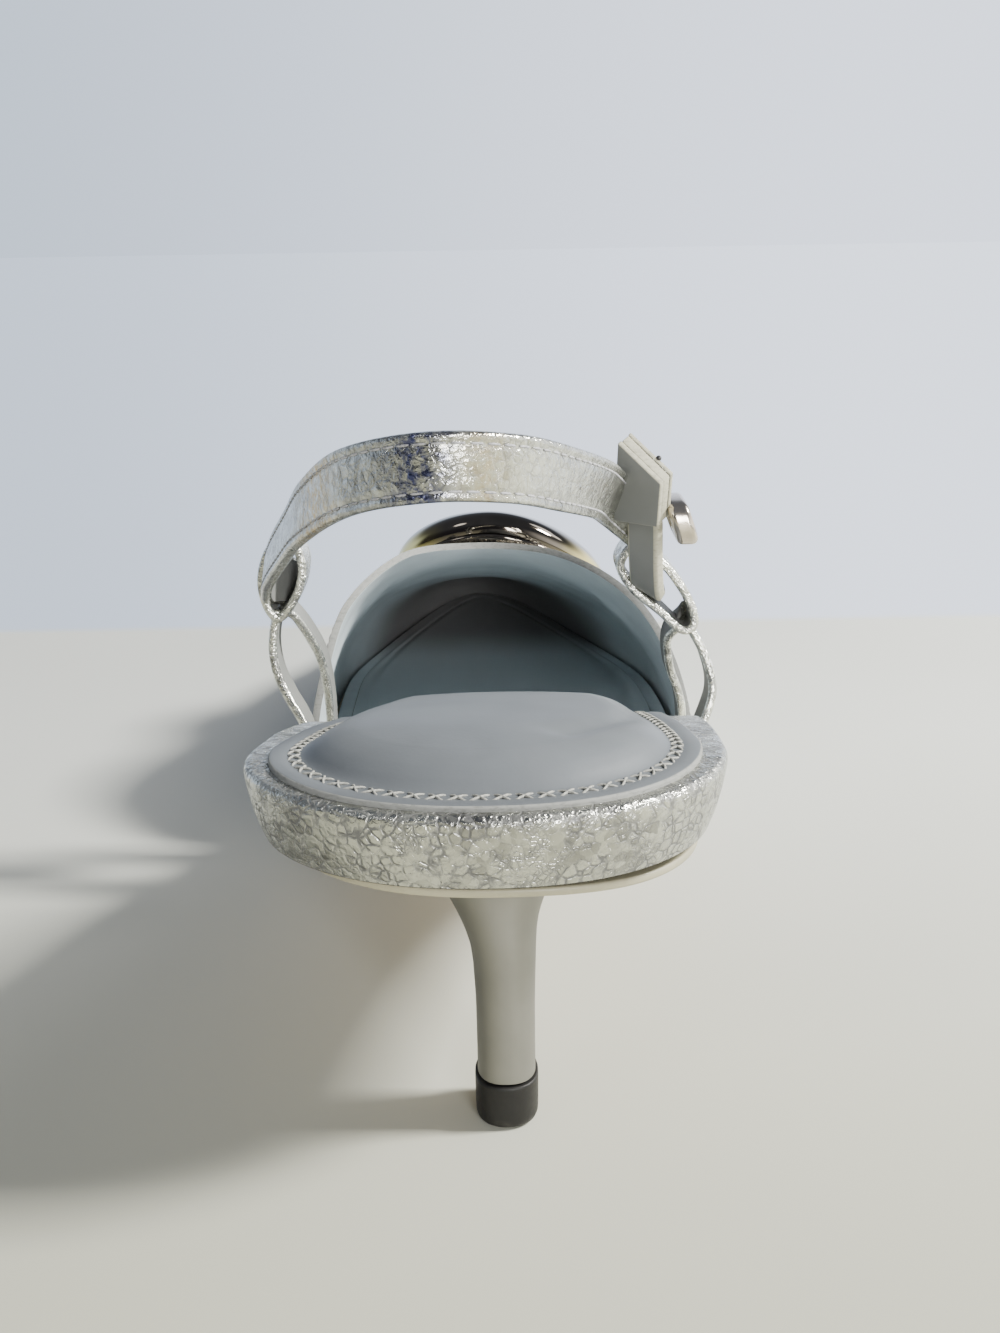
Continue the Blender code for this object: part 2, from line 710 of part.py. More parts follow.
def main():
    for old in list(bpy.data.objects):
        bpy.data.objects.remove(old, do_unlink=True)
    silver = make_material("silver_leather")
    champagne = make_material("sole_leather")
    grey = make_material("grey_lining")
    satin = make_material("satin_metal")
    polished = make_material("polished_metal")
    gilt = make_material("gilt_rim")
    black = make_material("black_rubber")
    make_outsole(champagne)
    make_covered_insole(silver)
    make_insole_sock(grey)
    make_vamp(silver)
    make_heel(satin)
    make_top_piece(black)
    make_quarter_loop("medial_quarter_loop", MEDIAL_EYE, MEDIAL_BACK_LEG, MEDIAL_FRONT_LEG, silver)
    make_quarter_loop("lateral_quarter_loop", LATERAL_EYE, LATERAL_BACK_LEG, LATERAL_FRONT_LEG, silver)
    band("sling_strap", SLING, SLING_WIDTH, SLING_THICKNESS, (0.0, 0.0, 1.0), silver)
    width, thickness = BUCKLE_STRAP_WIDTH, BUCKLE_STRAP_THICKNESS
    band("buckle_strap", BUCKLE_STRAP, width, thickness, BUCKLE_STRAP_SLANT, grey)
    make_strap_end(grey)
    make_buckle(satin)
    make_ornament(polished, gilt)
    centre_on_origin()


main()
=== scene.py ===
"""Looks of a right slingback pump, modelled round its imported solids.

Stations run along the shoe from the back of the seat (0) to the toe tip, x is lateral and heights
start at the floor. Tables are in millimetres in that station frame. world() gives the frame's metres.
"""
import math
from collections import namedtuple

import bpy
import numpy as np
from bpy.props import FloatProperty, FloatVectorProperty, PointerProperty
from mathutils import Euler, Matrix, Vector

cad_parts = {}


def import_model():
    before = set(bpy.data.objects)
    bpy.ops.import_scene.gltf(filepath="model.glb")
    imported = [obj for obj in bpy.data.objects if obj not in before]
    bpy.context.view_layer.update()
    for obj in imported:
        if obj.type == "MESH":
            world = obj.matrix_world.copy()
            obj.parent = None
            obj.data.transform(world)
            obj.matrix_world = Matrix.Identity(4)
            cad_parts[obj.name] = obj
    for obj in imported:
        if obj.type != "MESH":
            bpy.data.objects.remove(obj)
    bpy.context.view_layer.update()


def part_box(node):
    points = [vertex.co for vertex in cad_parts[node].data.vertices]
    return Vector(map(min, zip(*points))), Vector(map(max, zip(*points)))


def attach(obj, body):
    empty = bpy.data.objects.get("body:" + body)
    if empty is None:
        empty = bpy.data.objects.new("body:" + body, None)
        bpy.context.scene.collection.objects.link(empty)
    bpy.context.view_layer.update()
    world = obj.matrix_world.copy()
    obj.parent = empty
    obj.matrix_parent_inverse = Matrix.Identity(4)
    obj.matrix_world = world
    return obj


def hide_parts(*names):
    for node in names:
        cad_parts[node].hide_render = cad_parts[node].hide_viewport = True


bl_info = {
    "name": "Slingback pump looks",
    "version": (1, 0, 0),
    "blender": (4, 5, 0),
    "location": "3D View > Sidebar > Pump",
    "description": "Finished pieces, materials and stage of a right slingback pump",
    "category": "Object",
}

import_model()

MM = 0.001
HEEL_AXIS_X = 1.9
SHIFT = np.array([
    sum(corner.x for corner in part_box("top_piece")) / 2.0 - HEEL_AXIS_X * MM,
    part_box("covered_insole")[0].y,
    0.0,
])


def table(kind, *rows):
    """A list of rows of one kind."""
    return [kind(*row) for row in rows]


# Driving dimensions of the shoe
LENGTH = 243.0
FIT_GAP = 0.3
OUTSOLE_THICKNESS = 1.8
UPPER_WALL = 1.7
TOP_PIECE_HEIGHT = 6.0

# The last and the sole: tread is the outsole's underside, board the covered insole's thickness,
# medial and lateral the edges from the heel's axis, spine the crown's line, crown the last's height
LastRow = namedtuple("LastRow", "station tread board medial lateral spine crown")
LAST = table(
    LastRow,
    (0.0, 35.2, 9.5, 29.0, 29.0, 0.0, 80.0),
    (20.0, 34.7, 9.3, 30.0, 29.8, 0.0, 80.0),
    (40.0, 33.0, 7.3, 29.6, 31.0, 0.0, 78.0),
    (58.0, 29.8, 6.2, 27.6, 31.4, 0.0, 74.0),
    (75.0, 24.2, 5.6, 27.2, 31.4, 0.0, 70.0),
    (90.0, 17.7, 5.4, 26.2, 31.8, -0.5, 64.5),
    (105.0, 11.4, 5.1, 26.8, 33.8, -1.0, 58.0),
    (120.0, 6.2, 4.3, 29.4, 36.0, -1.5, 52.0),
    (135.0, 2.3, 3.8, 32.4, 37.8, -1.5, 45.5),
    (152.0, 0.0, 3.6, 34.6, 38.6, -1.0, 38.3),
    (182.0, 0.0, 3.6, 34.6, 36.4, -0.6, 28.6),
    (204.0, 0.8, 3.6, 32.2, 31.4, -1.2, 21.2),
    (224.0, 2.6, 3.6, 29.6, 26.4, -2.0, 15.2),
    (243.0, 5.4, 3.6, 28.0, 24.0, -3.0, 10.5),
)
SEAT_REACH = 26.0
SEAT_POWER = 2.2
TOE_REACH = 72.0
TOE_POWER = 1.9
TOE_BOX_REACH = 15.0
TOE_BOX_POWER = 2.0

# The vamp's arch across the foot: the roundness of each side, and how far its wings stand out there
ArchRow = namedtuple("ArchRow", "station medial lateral medial_flare lateral_flare")
ARCH = table(
    ArchRow,
    (98.0, 1.7, 1.65, 4.0, 1.5),
    (120.0, 1.75, 1.67, 3.4, 1.3),
    (150.0, 2.3, 1.88, 0.0, 0.0),
    (243.0, 2.4, 1.9, 0.0, 0.0),
)
FLARE_START = 0.25
FLARE_FULL = 0.6
FLARE_END = 0.88

# The edge of each plate along the shoe, measured out from the last's edge
MarginRow = namedtuple("MarginRow", "station outsole board sock")
MARGINS = table(
    MarginRow,
    (0.0, -3.4, 0.0, -1.8),
    (34.0, -4.5, 0.0, -3.8),
    (60.0, -3.8, 0.0, -5.6),
    (108.0, 0.8, -1.2, -4.4),
    (243.0, 2.2, -1.2, -4.4),
)

# The outsole at the seat, where it is drawn thinner than its solid: its underside is raised, its lateral
# side droops and all of it stands further out. All of this fades along the arch
SEAT_FADE_RANGE = (55.0, 100.0)
SEAT_THINNING = 0.25
SEAT_RAISE = 0.4
SEAT_DROOP = 0.8
SEAT_DROOP_RANGE = (2.0, 24.0)
SEAT_SIDE_SHIFT = 1.0

# Rows round a plate's section, from the middle of its underside to the middle of its top.
# share runs from the middle (0) to the edge (1); inset and height are shares of the thickness
PlateRow = namedtuple("PlateRow", "share inset height")
OUTSOLE_ROWS = table(
    PlateRow,
    (0.0, 0.5, 0.0),
    (0.4, 0.5, 0.0),
    (0.75, 0.5, 0.0),
    (0.95, 0.5, 0.0),
    (1.0, 0.42, 0.0),
    (1.0, 0.2, 0.05),
    (1.0, 0.06, 0.16),
    (1.0, 0.0, 0.32),
    (1.0, 0.0, 0.68),
    (1.0, 0.05, 0.86),
    (1.0, 0.16, 0.97),
    (1.0, 0.3, 1.0),
    (0.9, 0.3, 1.0),
    (0.5, 0.3, 1.0),
    (0.0, 0.3, 1.0),
)
BOARD_SIDE = table(
    PlateRow,
    (1.0, 0.3, 0.0),
    (1.0, 0.26, 0.0),
    (1.0, 0.225, 0.012),
    (1.0, 0.2, 0.05),
    (1.0, 0.11, 0.3),
    (1.0, 0.04, 0.6),
    (1.0, 0.005, 0.8),
    (1.0, 0.0, 0.88),
    (1.0, 0.012, 0.94),
    (1.0, 0.05, 0.985),
    (1.0, 0.1, 1.0),
    (1.0, 0.3, 1.0),
    (1.0, 0.6, 1.0),
)

# The outsole's first strips are its tread. The board's side is smoothed, and rows at these shares close it
TREAD_ROWS = 4
BOARD_SIDE_STEPS = 4
BOARD_UNDER_SHARES = (0.0, 0.4, 0.75, 0.95)
BOARD_OVER_SHARES = (0.9, 0.6, 0.3, 0.0)

# Up to a height the rand is a dark seam, partly glue and partly painted shade of the gap above the outsole.
# From a station on, faces that look up far enough are lined
RAND_SEAM_AND_SHADE_HEIGHT = 0.045
BOARD_LINED_FROM = 104.0
BOARD_FLAT = 0.6

# The sock's section: inset from its edge, height above the board, and the share of the soft heel pad
SockRow = namedtuple("SockRow", "inset height pad")
SOCK_ROWS = table(
    SockRow,
    (0.0, 0.1, 0.0),
    (0.1, 0.28, 0.0),
    (0.3, 0.38, 0.0),
    (1.2, 0.42, 0.0),
    (1.9, 0.36, 0.0),
    (2.6, 0.24, 0.0),
    (3.3, 0.2, 0.0),
    (4.0, 0.25, 0.03),
    (4.7, 0.36, 0.11),
    (6.0, 0.6, 0.3),
    (7.6, 0.75, 0.5),
    (9.5, 0.8, 0.66),
    (11.0, 0.8, 0.75),
)
PAD_HEIGHT = 3.6
PAD_START = 60.0
PAD_END = 95.0

# How the sock's rings are spread, the crown of its middle, and how its insets narrow towards the toe
SOCK_UNDER_INSET = 0.15
SOCK_UNDER_SHARES = (0.0, 0.5, 0.96)
SOCK_EDGE_HEIGHTS = (0.0, 0.2)
SOCK_INSETS = np.concatenate([[0.0, 0.05, 0.12, 0.25], np.arange(0.5, 11.01, 0.35)])
SOCK_PALE_INSET = 0.2
SOCK_MIDDLE_SHARES = (0.93, 0.85, 0.74, 0.6, 0.45, 0.3, 0.15, 0.0)
SOCK_CROWN = 0.9
SOCK_CROWN_REACH = 18.0
TOE_INSET_SHARE = 0.35
TOE_INSET_RANGE = (150.0, 220.0)

# Soft troughs of the sock where the pad under it ends: points along each, then its width and depth
SockCrease = namedtuple("SockCrease", "points width depth")
SOCK_CREASE_LINE = ((10.0, 19.0), (13.5, 22.0), (16.5, 27.0), (18.5, 34.0), (19.5, 43.0), (19.5, 54.0))
SOCK_CREASES = [SockCrease(SOCK_CREASE_LINE, 1.9, 0.75)]
SOCK_CREASE_STEPS = 6

# The sock's chain stitch: two threads that swing across a channel and dive where they turn
CHAIN_INSET = 3.15
CHAIN_END_STATION = 112.0
CHAIN_SAMPLES = 10
CHAIN_FINENESS = 4
CHAIN_LIFT = 0.9
CHAIN_DIVE_DEPTH = 2.2
CHAIN_DIVE_POWER = 4.0
CHAIN_POINTS = 8

# The vamp's throat: where its edge lies at the crown and at the feather line
THROAT_CROWN = 144.0
THROAT_SIDE = 98.0
THROAT_POWER = 1.6

# Soft flex creases of the vamp: station and share across at each end, width and depth of the trough
CreaseRow = namedtuple("CreaseRow", "start_station start_across end_station end_across width depth")
CREASES = table(
    CreaseRow,
    (139.0, -0.86, 152.0, -0.46, 4.5, 0.55),
    (151.0, -0.88, 164.0, -0.54, 5.0, 0.45),
    (141.0, 0.88, 153.0, 0.5, 4.5, 0.5),
    (153.0, 0.88, 166.0, 0.58, 5.0, 0.45),
    (181.0, -0.3, 184.0, 0.34, 5.5, 0.3),
)
CREASE_ACROSS_MM = 55.0
CREASE_RIDGE = 0.4
CREASE_RIDGE_AWAY = 1.5
CREASE_RIDGE_NARROWING = 2.0

# The vamp's grid and wall, the bevel of its rim, the sewn trough along its topline, where its relief fades
# towards the sole, and the least length that a normal is divided by
VAMP_AROUND = 180
VAMP_ALONG = 130
VAMP_THICKNESS = 1.3
RIM_ROUNDING = 0.45
BEVEL_SEGMENTS = 3
TOPLINE_SEAM = 2.3
TOPLINE_TROUGH = 0.14
TOPLINE_WIDTH = 0.5
TOPLINE_SPACING = 1.35
TOPLINE_LIFT = 0.2
RELIEF_FADE_START = 0.9
SHORTEST_NORMAL = 1e-9

# The heel's sections: height is a share of the way from the top piece to the sole
HeelRow = namedtuple("HeelRow", "height x half_width back front")
HEEL = table(
    HeelRow,
    (0.0, 1.9, 3.65, 11.6, 20.6),
    (0.3, 1.9, 3.68, 11.4, 20.5),
    (0.5, 1.85, 3.85, 11.2, 20.9),
    (0.6, 1.75, 4.05, 11.1, 21.6),
    (0.68, 1.5, 4.45, 11.0, 22.8),
    (0.75, 1.25, 5.1, 11.0, 24.6),
    (0.85, 1.0, 6.5, 11.0, 27.8),
    (0.94, 0.8, 8.1, 10.8, 31.2),
    (1.0, 0.7, 9.4, 10.4, 34.0),
)
TOP_PIECE = table(
    HeelRow,
    (0.0, 1.9, 3.3, 12.1, 20.1),
    (0.03, 1.9, 3.6, 11.7, 20.5),
    (0.08, 1.9, 3.82, 11.42, 20.78),
    (0.16, 1.9, 3.95, 11.25, 20.95),
    (0.5, 1.9, 3.98, 11.2, 21.0),
    (0.94, 1.9, 4.0, 11.2, 21.0),
    (0.99, 1.9, 3.92, 11.3, 20.9),
    (1.0, 1.9, 3.8, 11.45, 20.75),
)
HEEL_SECTION_POWER = 2.4
HEEL_POINTS = 72
HEEL_STEPS = 56
HEEL_RAISE = 0.1
TOP_PIECE_STEPS = 30

# Bands: the centre line of each strap, from end to end. lean turns a band about its own line, in degrees
BandRow = namedtuple("BandRow", "x station height lean", defaults=[0.0])
SLING = table(
    BandRow,
    (-31.6, 90.0, 51.4),
    (-33.2, 87.0, 52.8),
    (-34.5, 81.5, 54.4, -6.0),
    (-32.5, 71.0, 59.2, -14.0),
    (-27.8, 56.0, 66.4, -14.0),
    (-23.2, 42.0, 72.8, -8.0),
    (-16.0, 26.0, 79.2),
    (-6.0, 16.5, 82.4),
    (4.0, 20.5, 81.4, 6.0),
    (10.8, 32.0, 78.0, 14.0),
    (15.2, 46.0, 74.4, 20.0),
    (17.4, 58.0, 71.4, 24.0),
    (19.4, 68.0, 68.4, 30.0),
    (22.0, 74.0, 65.4, 36.0),
    (24.6, 78.0, 62.6, 40.0),
)
MEDIAL_EYE = table(
    BandRow,
    (-33.9, 86.0, 47.4),
    (-35.3, 86.0, 49.2),
    (-36.0, 86.0, 52.2),
    (-35.8, 86.0, 55.2),
    (-34.6, 86.0, 58.4),
    (-32.6, 86.0, 60.2),
    (-30.4, 86.0, 59.2),
    (-29.4, 86.0, 56.0),
    (-30.2, 86.0, 52.0),
    (-32.2, 86.0, 48.6),
)
MEDIAL_BACK_LEG = table(
    BandRow,
    (-34.0, 86.0, 48.4),
    (-34.9, 85.6, 43.0),
    (-34.4, 85.0, 38.4),
    (-32.6, 84.2, 34.2),
    (-30.2, 83.0, 30.0),
    (-28.4, 81.8, 24.4),
)
MEDIAL_FRONT_LEG = table(
    BandRow,
    (-33.4, 86.8, 49.0),
    (-31.4, 88.2, 46.8),
    (-29.4, 90.4, 42.6),
    (-27.9, 92.4, 37.6),
    (-27.2, 93.8, 30.0),
    (-27.3, 94.2, 19.0),
)
LATERAL_EYE = table(
    BandRow,
    (31.4, 86.0, 44.4),
    (27.8, 86.0, 47.6),
    (23.4, 86.0, 51.4),
    (21.4, 86.0, 55.4),
    (24.0, 86.0, 58.4),
    (28.6, 86.0, 55.0),
    (32.4, 86.0, 49.4),
    (33.4, 86.0, 45.4),
)
LATERAL_BACK_LEG = table(
    BandRow,
    (32.8, 86.0, 44.6),
    (35.4, 85.5, 39.5),
    (36.4, 84.0, 34.0),
    (34.4, 82.5, 28.0),
    (33.2, 81.5, 24.4),
)
LATERAL_FRONT_LEG = table(
    BandRow,
    (31.8, 87.0, 45.6),
    (30.0, 91.0, 41.5),
    (30.4, 93.0, 36.0),
    (32.6, 94.0, 29.0),
    (33.2, 94.2, 19.0),
)
BUCKLE_STRAP_SLANT = (0.77, -0.64, -0.35)
BUCKLE_STRAP = table(
    BandRow,
    (24.2, 72.4, 65.0),
    (24.6, 75.2, 58.6),
    (25.2, 79.0, 53.6),
    (25.9, 84.0, 51.2),
    (26.4, 91.0, 50.6),
)

# A strap's section: points over a flat and an edge, the edge's rounding, and the troughs of its seams
FLAT_STEPS = 26
EDGE_STEPS = 4
STRAP_ROUNDING = 0.55
TROUGH_HALF_WIDTH = 0.45
TROUGH_DEPTH = 0.16
END_SHRINK = 0.86
END_BULGE = 0.12
BAND_STEPS = 10
BUCKLE_STRAP_STEPS = 16
SLING_STEPS = 24
SLING_SEAM = 2.75
SLING_SPACING = 1.3
SLING_SINK = 0.1

# The slots of a strap's face, back and edges
LATERAL_FACES = (0, 1, 2)
MEDIAL_FACES = (1, 0, 2)
SLING_FACES = (0, 1, 0)

# The shape of one stitch
STITCH_SEGMENTS = 8
STITCH_RINGS = 6
STITCH_BLUNTNESS = 0.7

# The strap's free end: a short layered stack with a slanting top
STACK_MIDDLE = BandRow(23.1, 67.0, 66.0)
STACK_WIDTH = 8.0
STACK_THICKNESS = 3.4
STACK_INNER_LENGTH = 14.2
STACK_OUTER_LENGTH = 7.9
STACK_TILT = 28.0
STACK_TURN = 42.0

# The stack's layers: where each starts and ends in the thickness, and how far it stands out round its edge
LayerRow = namedtuple("LayerRow", "name near far grow")
STACK_LAYERS = table(
    LayerRow,
    ("stack_lining", -0.5, -0.22, 0.0),
    ("stack_core", -0.22, 0.28, -0.12),
    ("stack_foil", 0.28, 0.5, 0.0),
)
STACK_ROUNDING = 0.22
STACK_FACING = 0.9

# The pin's tip: its share of the way along the stack's slanting top, and its size
PIN_SHARE = 0.65
PIN_RADIUS = 0.42
PIN_SEGMENTS = 16
PIN_RINGS = 8

# The buckle, on the stack's outer side
BUCKLE_CENTRE = BandRow(28.9, 68.6, 65.6)
BUCKLE_LENGTH = 10.0
BUCKLE_HEIGHT = 4.9
BUCKLE_BAR_WIDTH = 3.1
BUCKLE_BAR_THICKNESS = 1.8
BUCKLE_STEPS = 12
BUCKLE_SQUARENESS = 0.5
BUCKLE_LEAN = 0.34
PRONG_DIAMETER = 1.2
BUCKLE_ROUNDING = 0.8
PRONG_ROUNDING = 0.55

# The ornament on the vamp: a domed oval in a thin rim
ORNAMENT_X = 2.6
ORNAMENT_STATION = 161.0
ORNAMENT_HALF_WIDTH = 24.0
ORNAMENT_HALF_LENGTH = 16.5
ORNAMENT_EDGE = 1.2
ORNAMENT_DOME = 9.0
ORNAMENT_GAP = 0.45
DOME_POWER = 3.0
DOME_SHARE = 0.93
RIM_SHARE = 0.955
RIM_HEIGHT = 1.6
ORNAMENT_POINTS = 128
DOME_STEPS = 40
DOME_UNDER_SHARES = (0.0, 0.35, 0.7, 0.98)
RIM_STEPS = 14

# Noises of the finishes: size as cells in a metre, detail and roughness
NoiseRow = namedtuple("NoiseRow", "scale detail rough", defaults=[3.0, 0.55])
FOIL_PATCH = NoiseRow(130.0, 3.0, 0.6)
FOIL_WEAR = NoiseRow(420.0)
FOIL_TONE = NoiseRow(85.0)
FOIL_SPECKLE = NoiseRow(900.0, 4.0, 0.7)
FOIL_CRUMPLE = NoiseRow(620.0, 4.0, 0.62)
LINING_MOTTLE = NoiseRow(45.0, 4.0)
LINING_PORES = NoiseRow(1900.0, 2.0, 0.6)
METAL_STREAK = NoiseRow(2400.0)
METAL_CLOUD = NoiseRow(120.0)
DOME_CLOUD = NoiseRow(90.0)
DOME_HAIRLINE = NoiseRow(700.0, 2.0)
RUBBER_GRAIN = NoiseRow(1500.0)
RUBBER_DUST = NoiseRow(500.0)
SOLE_CLOUD = NoiseRow(60.0, 4.0)
SOLE_SCUFF = NoiseRow(700.0, 4.0, 0.7)
SOLE_GRAIN = NoiseRow(900.0)
FLOOR_CLOUD = NoiseRow(9.0, 2.0)

# Where a cloudy noise turns from the dark tone to the light one
CLOUD_RANGE = (0.3, 0.7)

# Stretches that draw a noise out into streaks, and each bump's strength and depth in metres
BRUSHED = (1.0, 1.0, 0.03)
SCUFFED = (1.0, 0.16, 1.0)
FOIL_BUMP = (0.8, 0.0004)
LINING_BUMP = (0.18, 0.0001)
RUBBER_BUMP = (0.25, 0.00008)
SOLE_BUMP = (0.2, 0.0001)
METAL_BUMP_DEPTH = 0.00002

# The foil's cracks: their widths in cells, the patches that they keep to, the finer ones' share, where wear
# opens them, and how far they darken, dull and roughen the foil and sink into it
COARSE_CRACK_WIDTH = (0.01, 0.2)
COARSE_CRACK_PATCH = (0.25, 0.5)
FINE_CRACK_WIDTH = (0.0, 0.22)
FINE_CRACK_PATCH = (0.4, 0.62)
FINE_CRACK_SHARE = 0.75
CRACK_WEAR_RANGE = (0.3, 0.6)
CRACK_DARKENING = 0.9
CRACK_DULLING = 0.5
CRACK_ROUGHNESS = 0.25
CRACK_SINK = 0.4

# The foil's tone: the shares of its cells and clouds, where it turns from grey to light, and its relief.
# Then the foil's roughness, and the range of the specks in its painted reflections
FOIL_CELL_SHARE = 0.3
FOIL_CLOUD_SHARE = 0.6
FOIL_TONE_RANGE = (0.18, 0.5)
FOIL_TONE_RELIEF = 0.25
FOIL_ROUGHNESS = 0.1
FOIL_PATCH_ROUGHNESS = 0.16
PAINTED_REFLECTION_SPECKLE_RANGE = (0.36, 0.62)

# The lining's dark and light tones, and the share of its mottle in roughness and relief
LINING_TONES = (0.86, 1.1)
MOTTLE_ROUGHNESS = 0.16
MOTTLE_RELIEF = 0.3

# The ornament: where it turns to gilt, outwards and to its sides, how that edge wanders, and the dark tone.
# The gilt kept to the sides is partly painted reflection
GILT_RANGE = (0.84, 0.98)
GILT_REFLECTION_SIDE_RANGE = (0.45, 0.8)
GILT_WANDER = 0.1
GILT_SHARE = 0.75
DOME_CLOUD_RANGE = (0.35, 0.65)
DOME_DARK = 0.6
DOME_ROUGHNESS = 0.05
HAIRLINE_ROUGHNESS = 0.05

# The top piece's dust and roughness
DUST_RANGE = (0.4, 0.7)
DUST_SHARE = 0.35
RUBBER_ROUGHNESS = 0.42
RUBBER_GRAIN_ROUGHNESS = 0.2

# The sole's scuffs, tones and roughness
SCUFF_RANGE = (0.52, 0.7)
SCUFF_LIGHT = 1.2
SCUFF_ROUGHNESS = 0.15
SOLE_DARK = 0.8
SOLE_ROUGHNESS = 0.36
SOLE_CLOUD_ROUGHNESS = 0.14
SOLE_GRAIN_RELIEF = 0.3

# The middle of a coloured noise, and the Mix node's sockets for colours, whose names others share
NOISE_MIDDLE = (0.5, 0.5, 0.5)
MIX_SHARE, MIX_FIRST, MIX_SECOND, MIX_RESULT = 0, 6, 7, 2

# Finishes of one grain: its stretch and noise, the range from dark to base colour and how dark that is,
# the specular level, the roughness and its swing, and the bump
GrainRow = namedtuple("GrainRow", "stretch noise dark_range dark specular gloss swing bump")
RAW_EDGE = GrainRow(
    (1.0, 1.0, 3.0), NoiseRow(900.0, 4.0, 0.7), (0.3, 0.55), 0.7, 0.3, 0.62, 0.2, (0.3, 0.0002))
THREAD = GrainRow(
    (1.0, 1.0, 1.0), NoiseRow(2600.0, 2.0), (0.3, 0.6), 0.62, 0.35, 0.5, 0.2, (0.4, 0.0001))

# The foil's two sizes of cells, and the two warps of their borders, each with its scale and amount
FOIL_CELLS = 760.0
FOIL_FINE_CELLS = 1500.0
FOIL_WARPS = ((260.0, 0.0014), (900.0, 0.0006))

# How foil differs where it isn't plain: its crackle, its brightness, and whether it carries painted
# reflections
LOOP_FOIL = {"crackle": 0.5, "shine": 1.55}
SLING_FOIL = {"crackle": 0.4, "with_painted_reflections": True}

# Painted reflections of the room on the strap's foil where it turns round the heel, in gold, blue and dark
# grey: place and half width across, colour, and amount
PaintedReflectionRow = namedtuple("PaintedReflectionRow", "x half_width colour amount")
FOIL_PAINTED_REFLECTIONS = table(
    PaintedReflectionRow,
    (-21.0, 5.5, "tint_gold", 1.0),
    (-14.0, 5.0, "foil_crack", 0.6),
    (-7.0, 6.0, "tint_blue", 1.0),
    (0.5, 4.0, "tint_gold", 0.4),
)
PAINTED_REFLECTION_FRONT = 46.0
PAINTED_REFLECTION_FADE = 14.0

# Where the sock turns to the lining's colour, and where the lining is painted dark towards the toe as
# painted shade
FORE_START = 88.0
FORE_LENGTH = 24.0
FORE_SHARE = 0.8
# Painted shade: the lining and the sock darken deep in the toe, where little light reaches
TOE_PAINTED_SHADE_START = 192.0
TOE_PAINTED_SHADE_LENGTH = 24.0
TOE_PAINTED_SHADE_COLOUR = (0.2, 0.19, 0.19)
TOE_PAINTED_SHADE = 0.9
SOCK_TOE_PAINTED_SHADE = 0.85
SOCK_GLOSS = 0.4

# Roughness, brushing and mottle of each metal, and the share of its clouds in its roughness
HEEL_SATIN = (0.56, 0.04, 0.12)
BUCKLE_POLISH = (0.14, 0.05, 0.15)
METAL_CLOUD_ROUGHNESS = 0.05

# Wear of the sole's edge and tread, and colours of small things
EDGE_WEAR = 0.25
TREAD_WEAR = 0.8
# The seam's near black is partly painted shade of the gap between the rand and the outsole
SEAM_AND_GAP_SHADE_COLOUR = (0.03, 0.028, 0.025, 1.0)
PIN_COLOUR = (0.03, 0.03, 0.032, 1.0)
TOPLINE_THREAD_COLOUR = (0.5, 0.5, 0.5)
SLING_THREAD_COLOUR = (0.42, 0.42, 0.44)
DUST_COLOUR = (0.16, 0.15, 0.14)
DUST_HEIGHT = 0.0016
FLOOR_STAIN_COLOUR = (0.3, 0.3, 0.3)
BLACK = (0.0, 0.0, 0.0)
NEAR_BLACK = (0.02, 0.02, 0.02)

# The stage: place, size, power and colour of each soft light
LightRow = namedtuple("LightRow", "name place size power colour")
LIGHTS = table(
    LightRow,
    ("key", (0.64, -0.07, 0.55), 0.15, 18.8, (1.0, 0.985, 0.93)),
    ("back", (0.2, -0.74, 0.17), 0.2, 4.4, (1.0, 0.99, 0.97)),
)

# The room's zones, as ranges of a direction's parts, and the wall's change from its left to its right
AHEAD_RANGE = (-0.1, 0.3)
RIGHT_RANGE = (0.35, 0.8)
ABOVE_RANGE = (0.12, 0.45)
WALL_RANGE = (-0.36, 0.3)
WALL_NEAREST = 0.05
WALL_BACK = 0.27
SKY_STRENGTH = 2.0
WINDOW_GAIN = 1.35

# Small bright panes high in the room, which the polished dome mirrors: direction, half angle, glow
PaneRow = namedtuple("PaneRow", "way half_angle glow")
PANES = table(
    PaneRow,
    ((-0.63, -0.51, 0.58), 8.0, 2.6),
    ((0.66, 0.28, 0.69), 10.0, 2.6),
    ((0.795, 0.143, 0.59), 10.0, 2.6),
)
PANE_EDGE = 0.006

# The floor in metres: over one range ahead it pales out of a painted shade that darkens it towards the
# camera, and past another a glow stands for the wall.
# Faint stains cloud it
FLOOR_SIZE = 8.0
FLOOR_HEIGHT = -0.00005
FLOOR_PAINTED_FALLOFF_RANGE = (-0.2, 0.06)
FLOOR_TURN_RANGE = (0.124, 0.132)
FLOOR_STAIN_SHARE = 0.06

# The camera, as the photograph's, in the station frame
CAMERA_X = 1.9
CAMERA_STATION = -150.8
CAMERA_HEIGHT = 110.1
CAMERA_PITCH = 17.0
CAMERA_ROLL = 0.95
CAMERA_FOCAL_PIXELS = 1500.0
IMAGE_LONG_SIDE_PIXELS = 1333.0
SENSOR_MM = 36.0
CLIP_START = 0.01

# How finely pieces are drawn
PLATE_STEPS = 150
MERGE_DISTANCE = 0.000002
SMOOTH_ANGLE = 50.0
SHARP_ANGLE = 80.0


def measure(name, description, default):
    """A length property in millimetres with its default."""
    return FloatProperty(name=name, description=f"{description}, in mm", default=default)


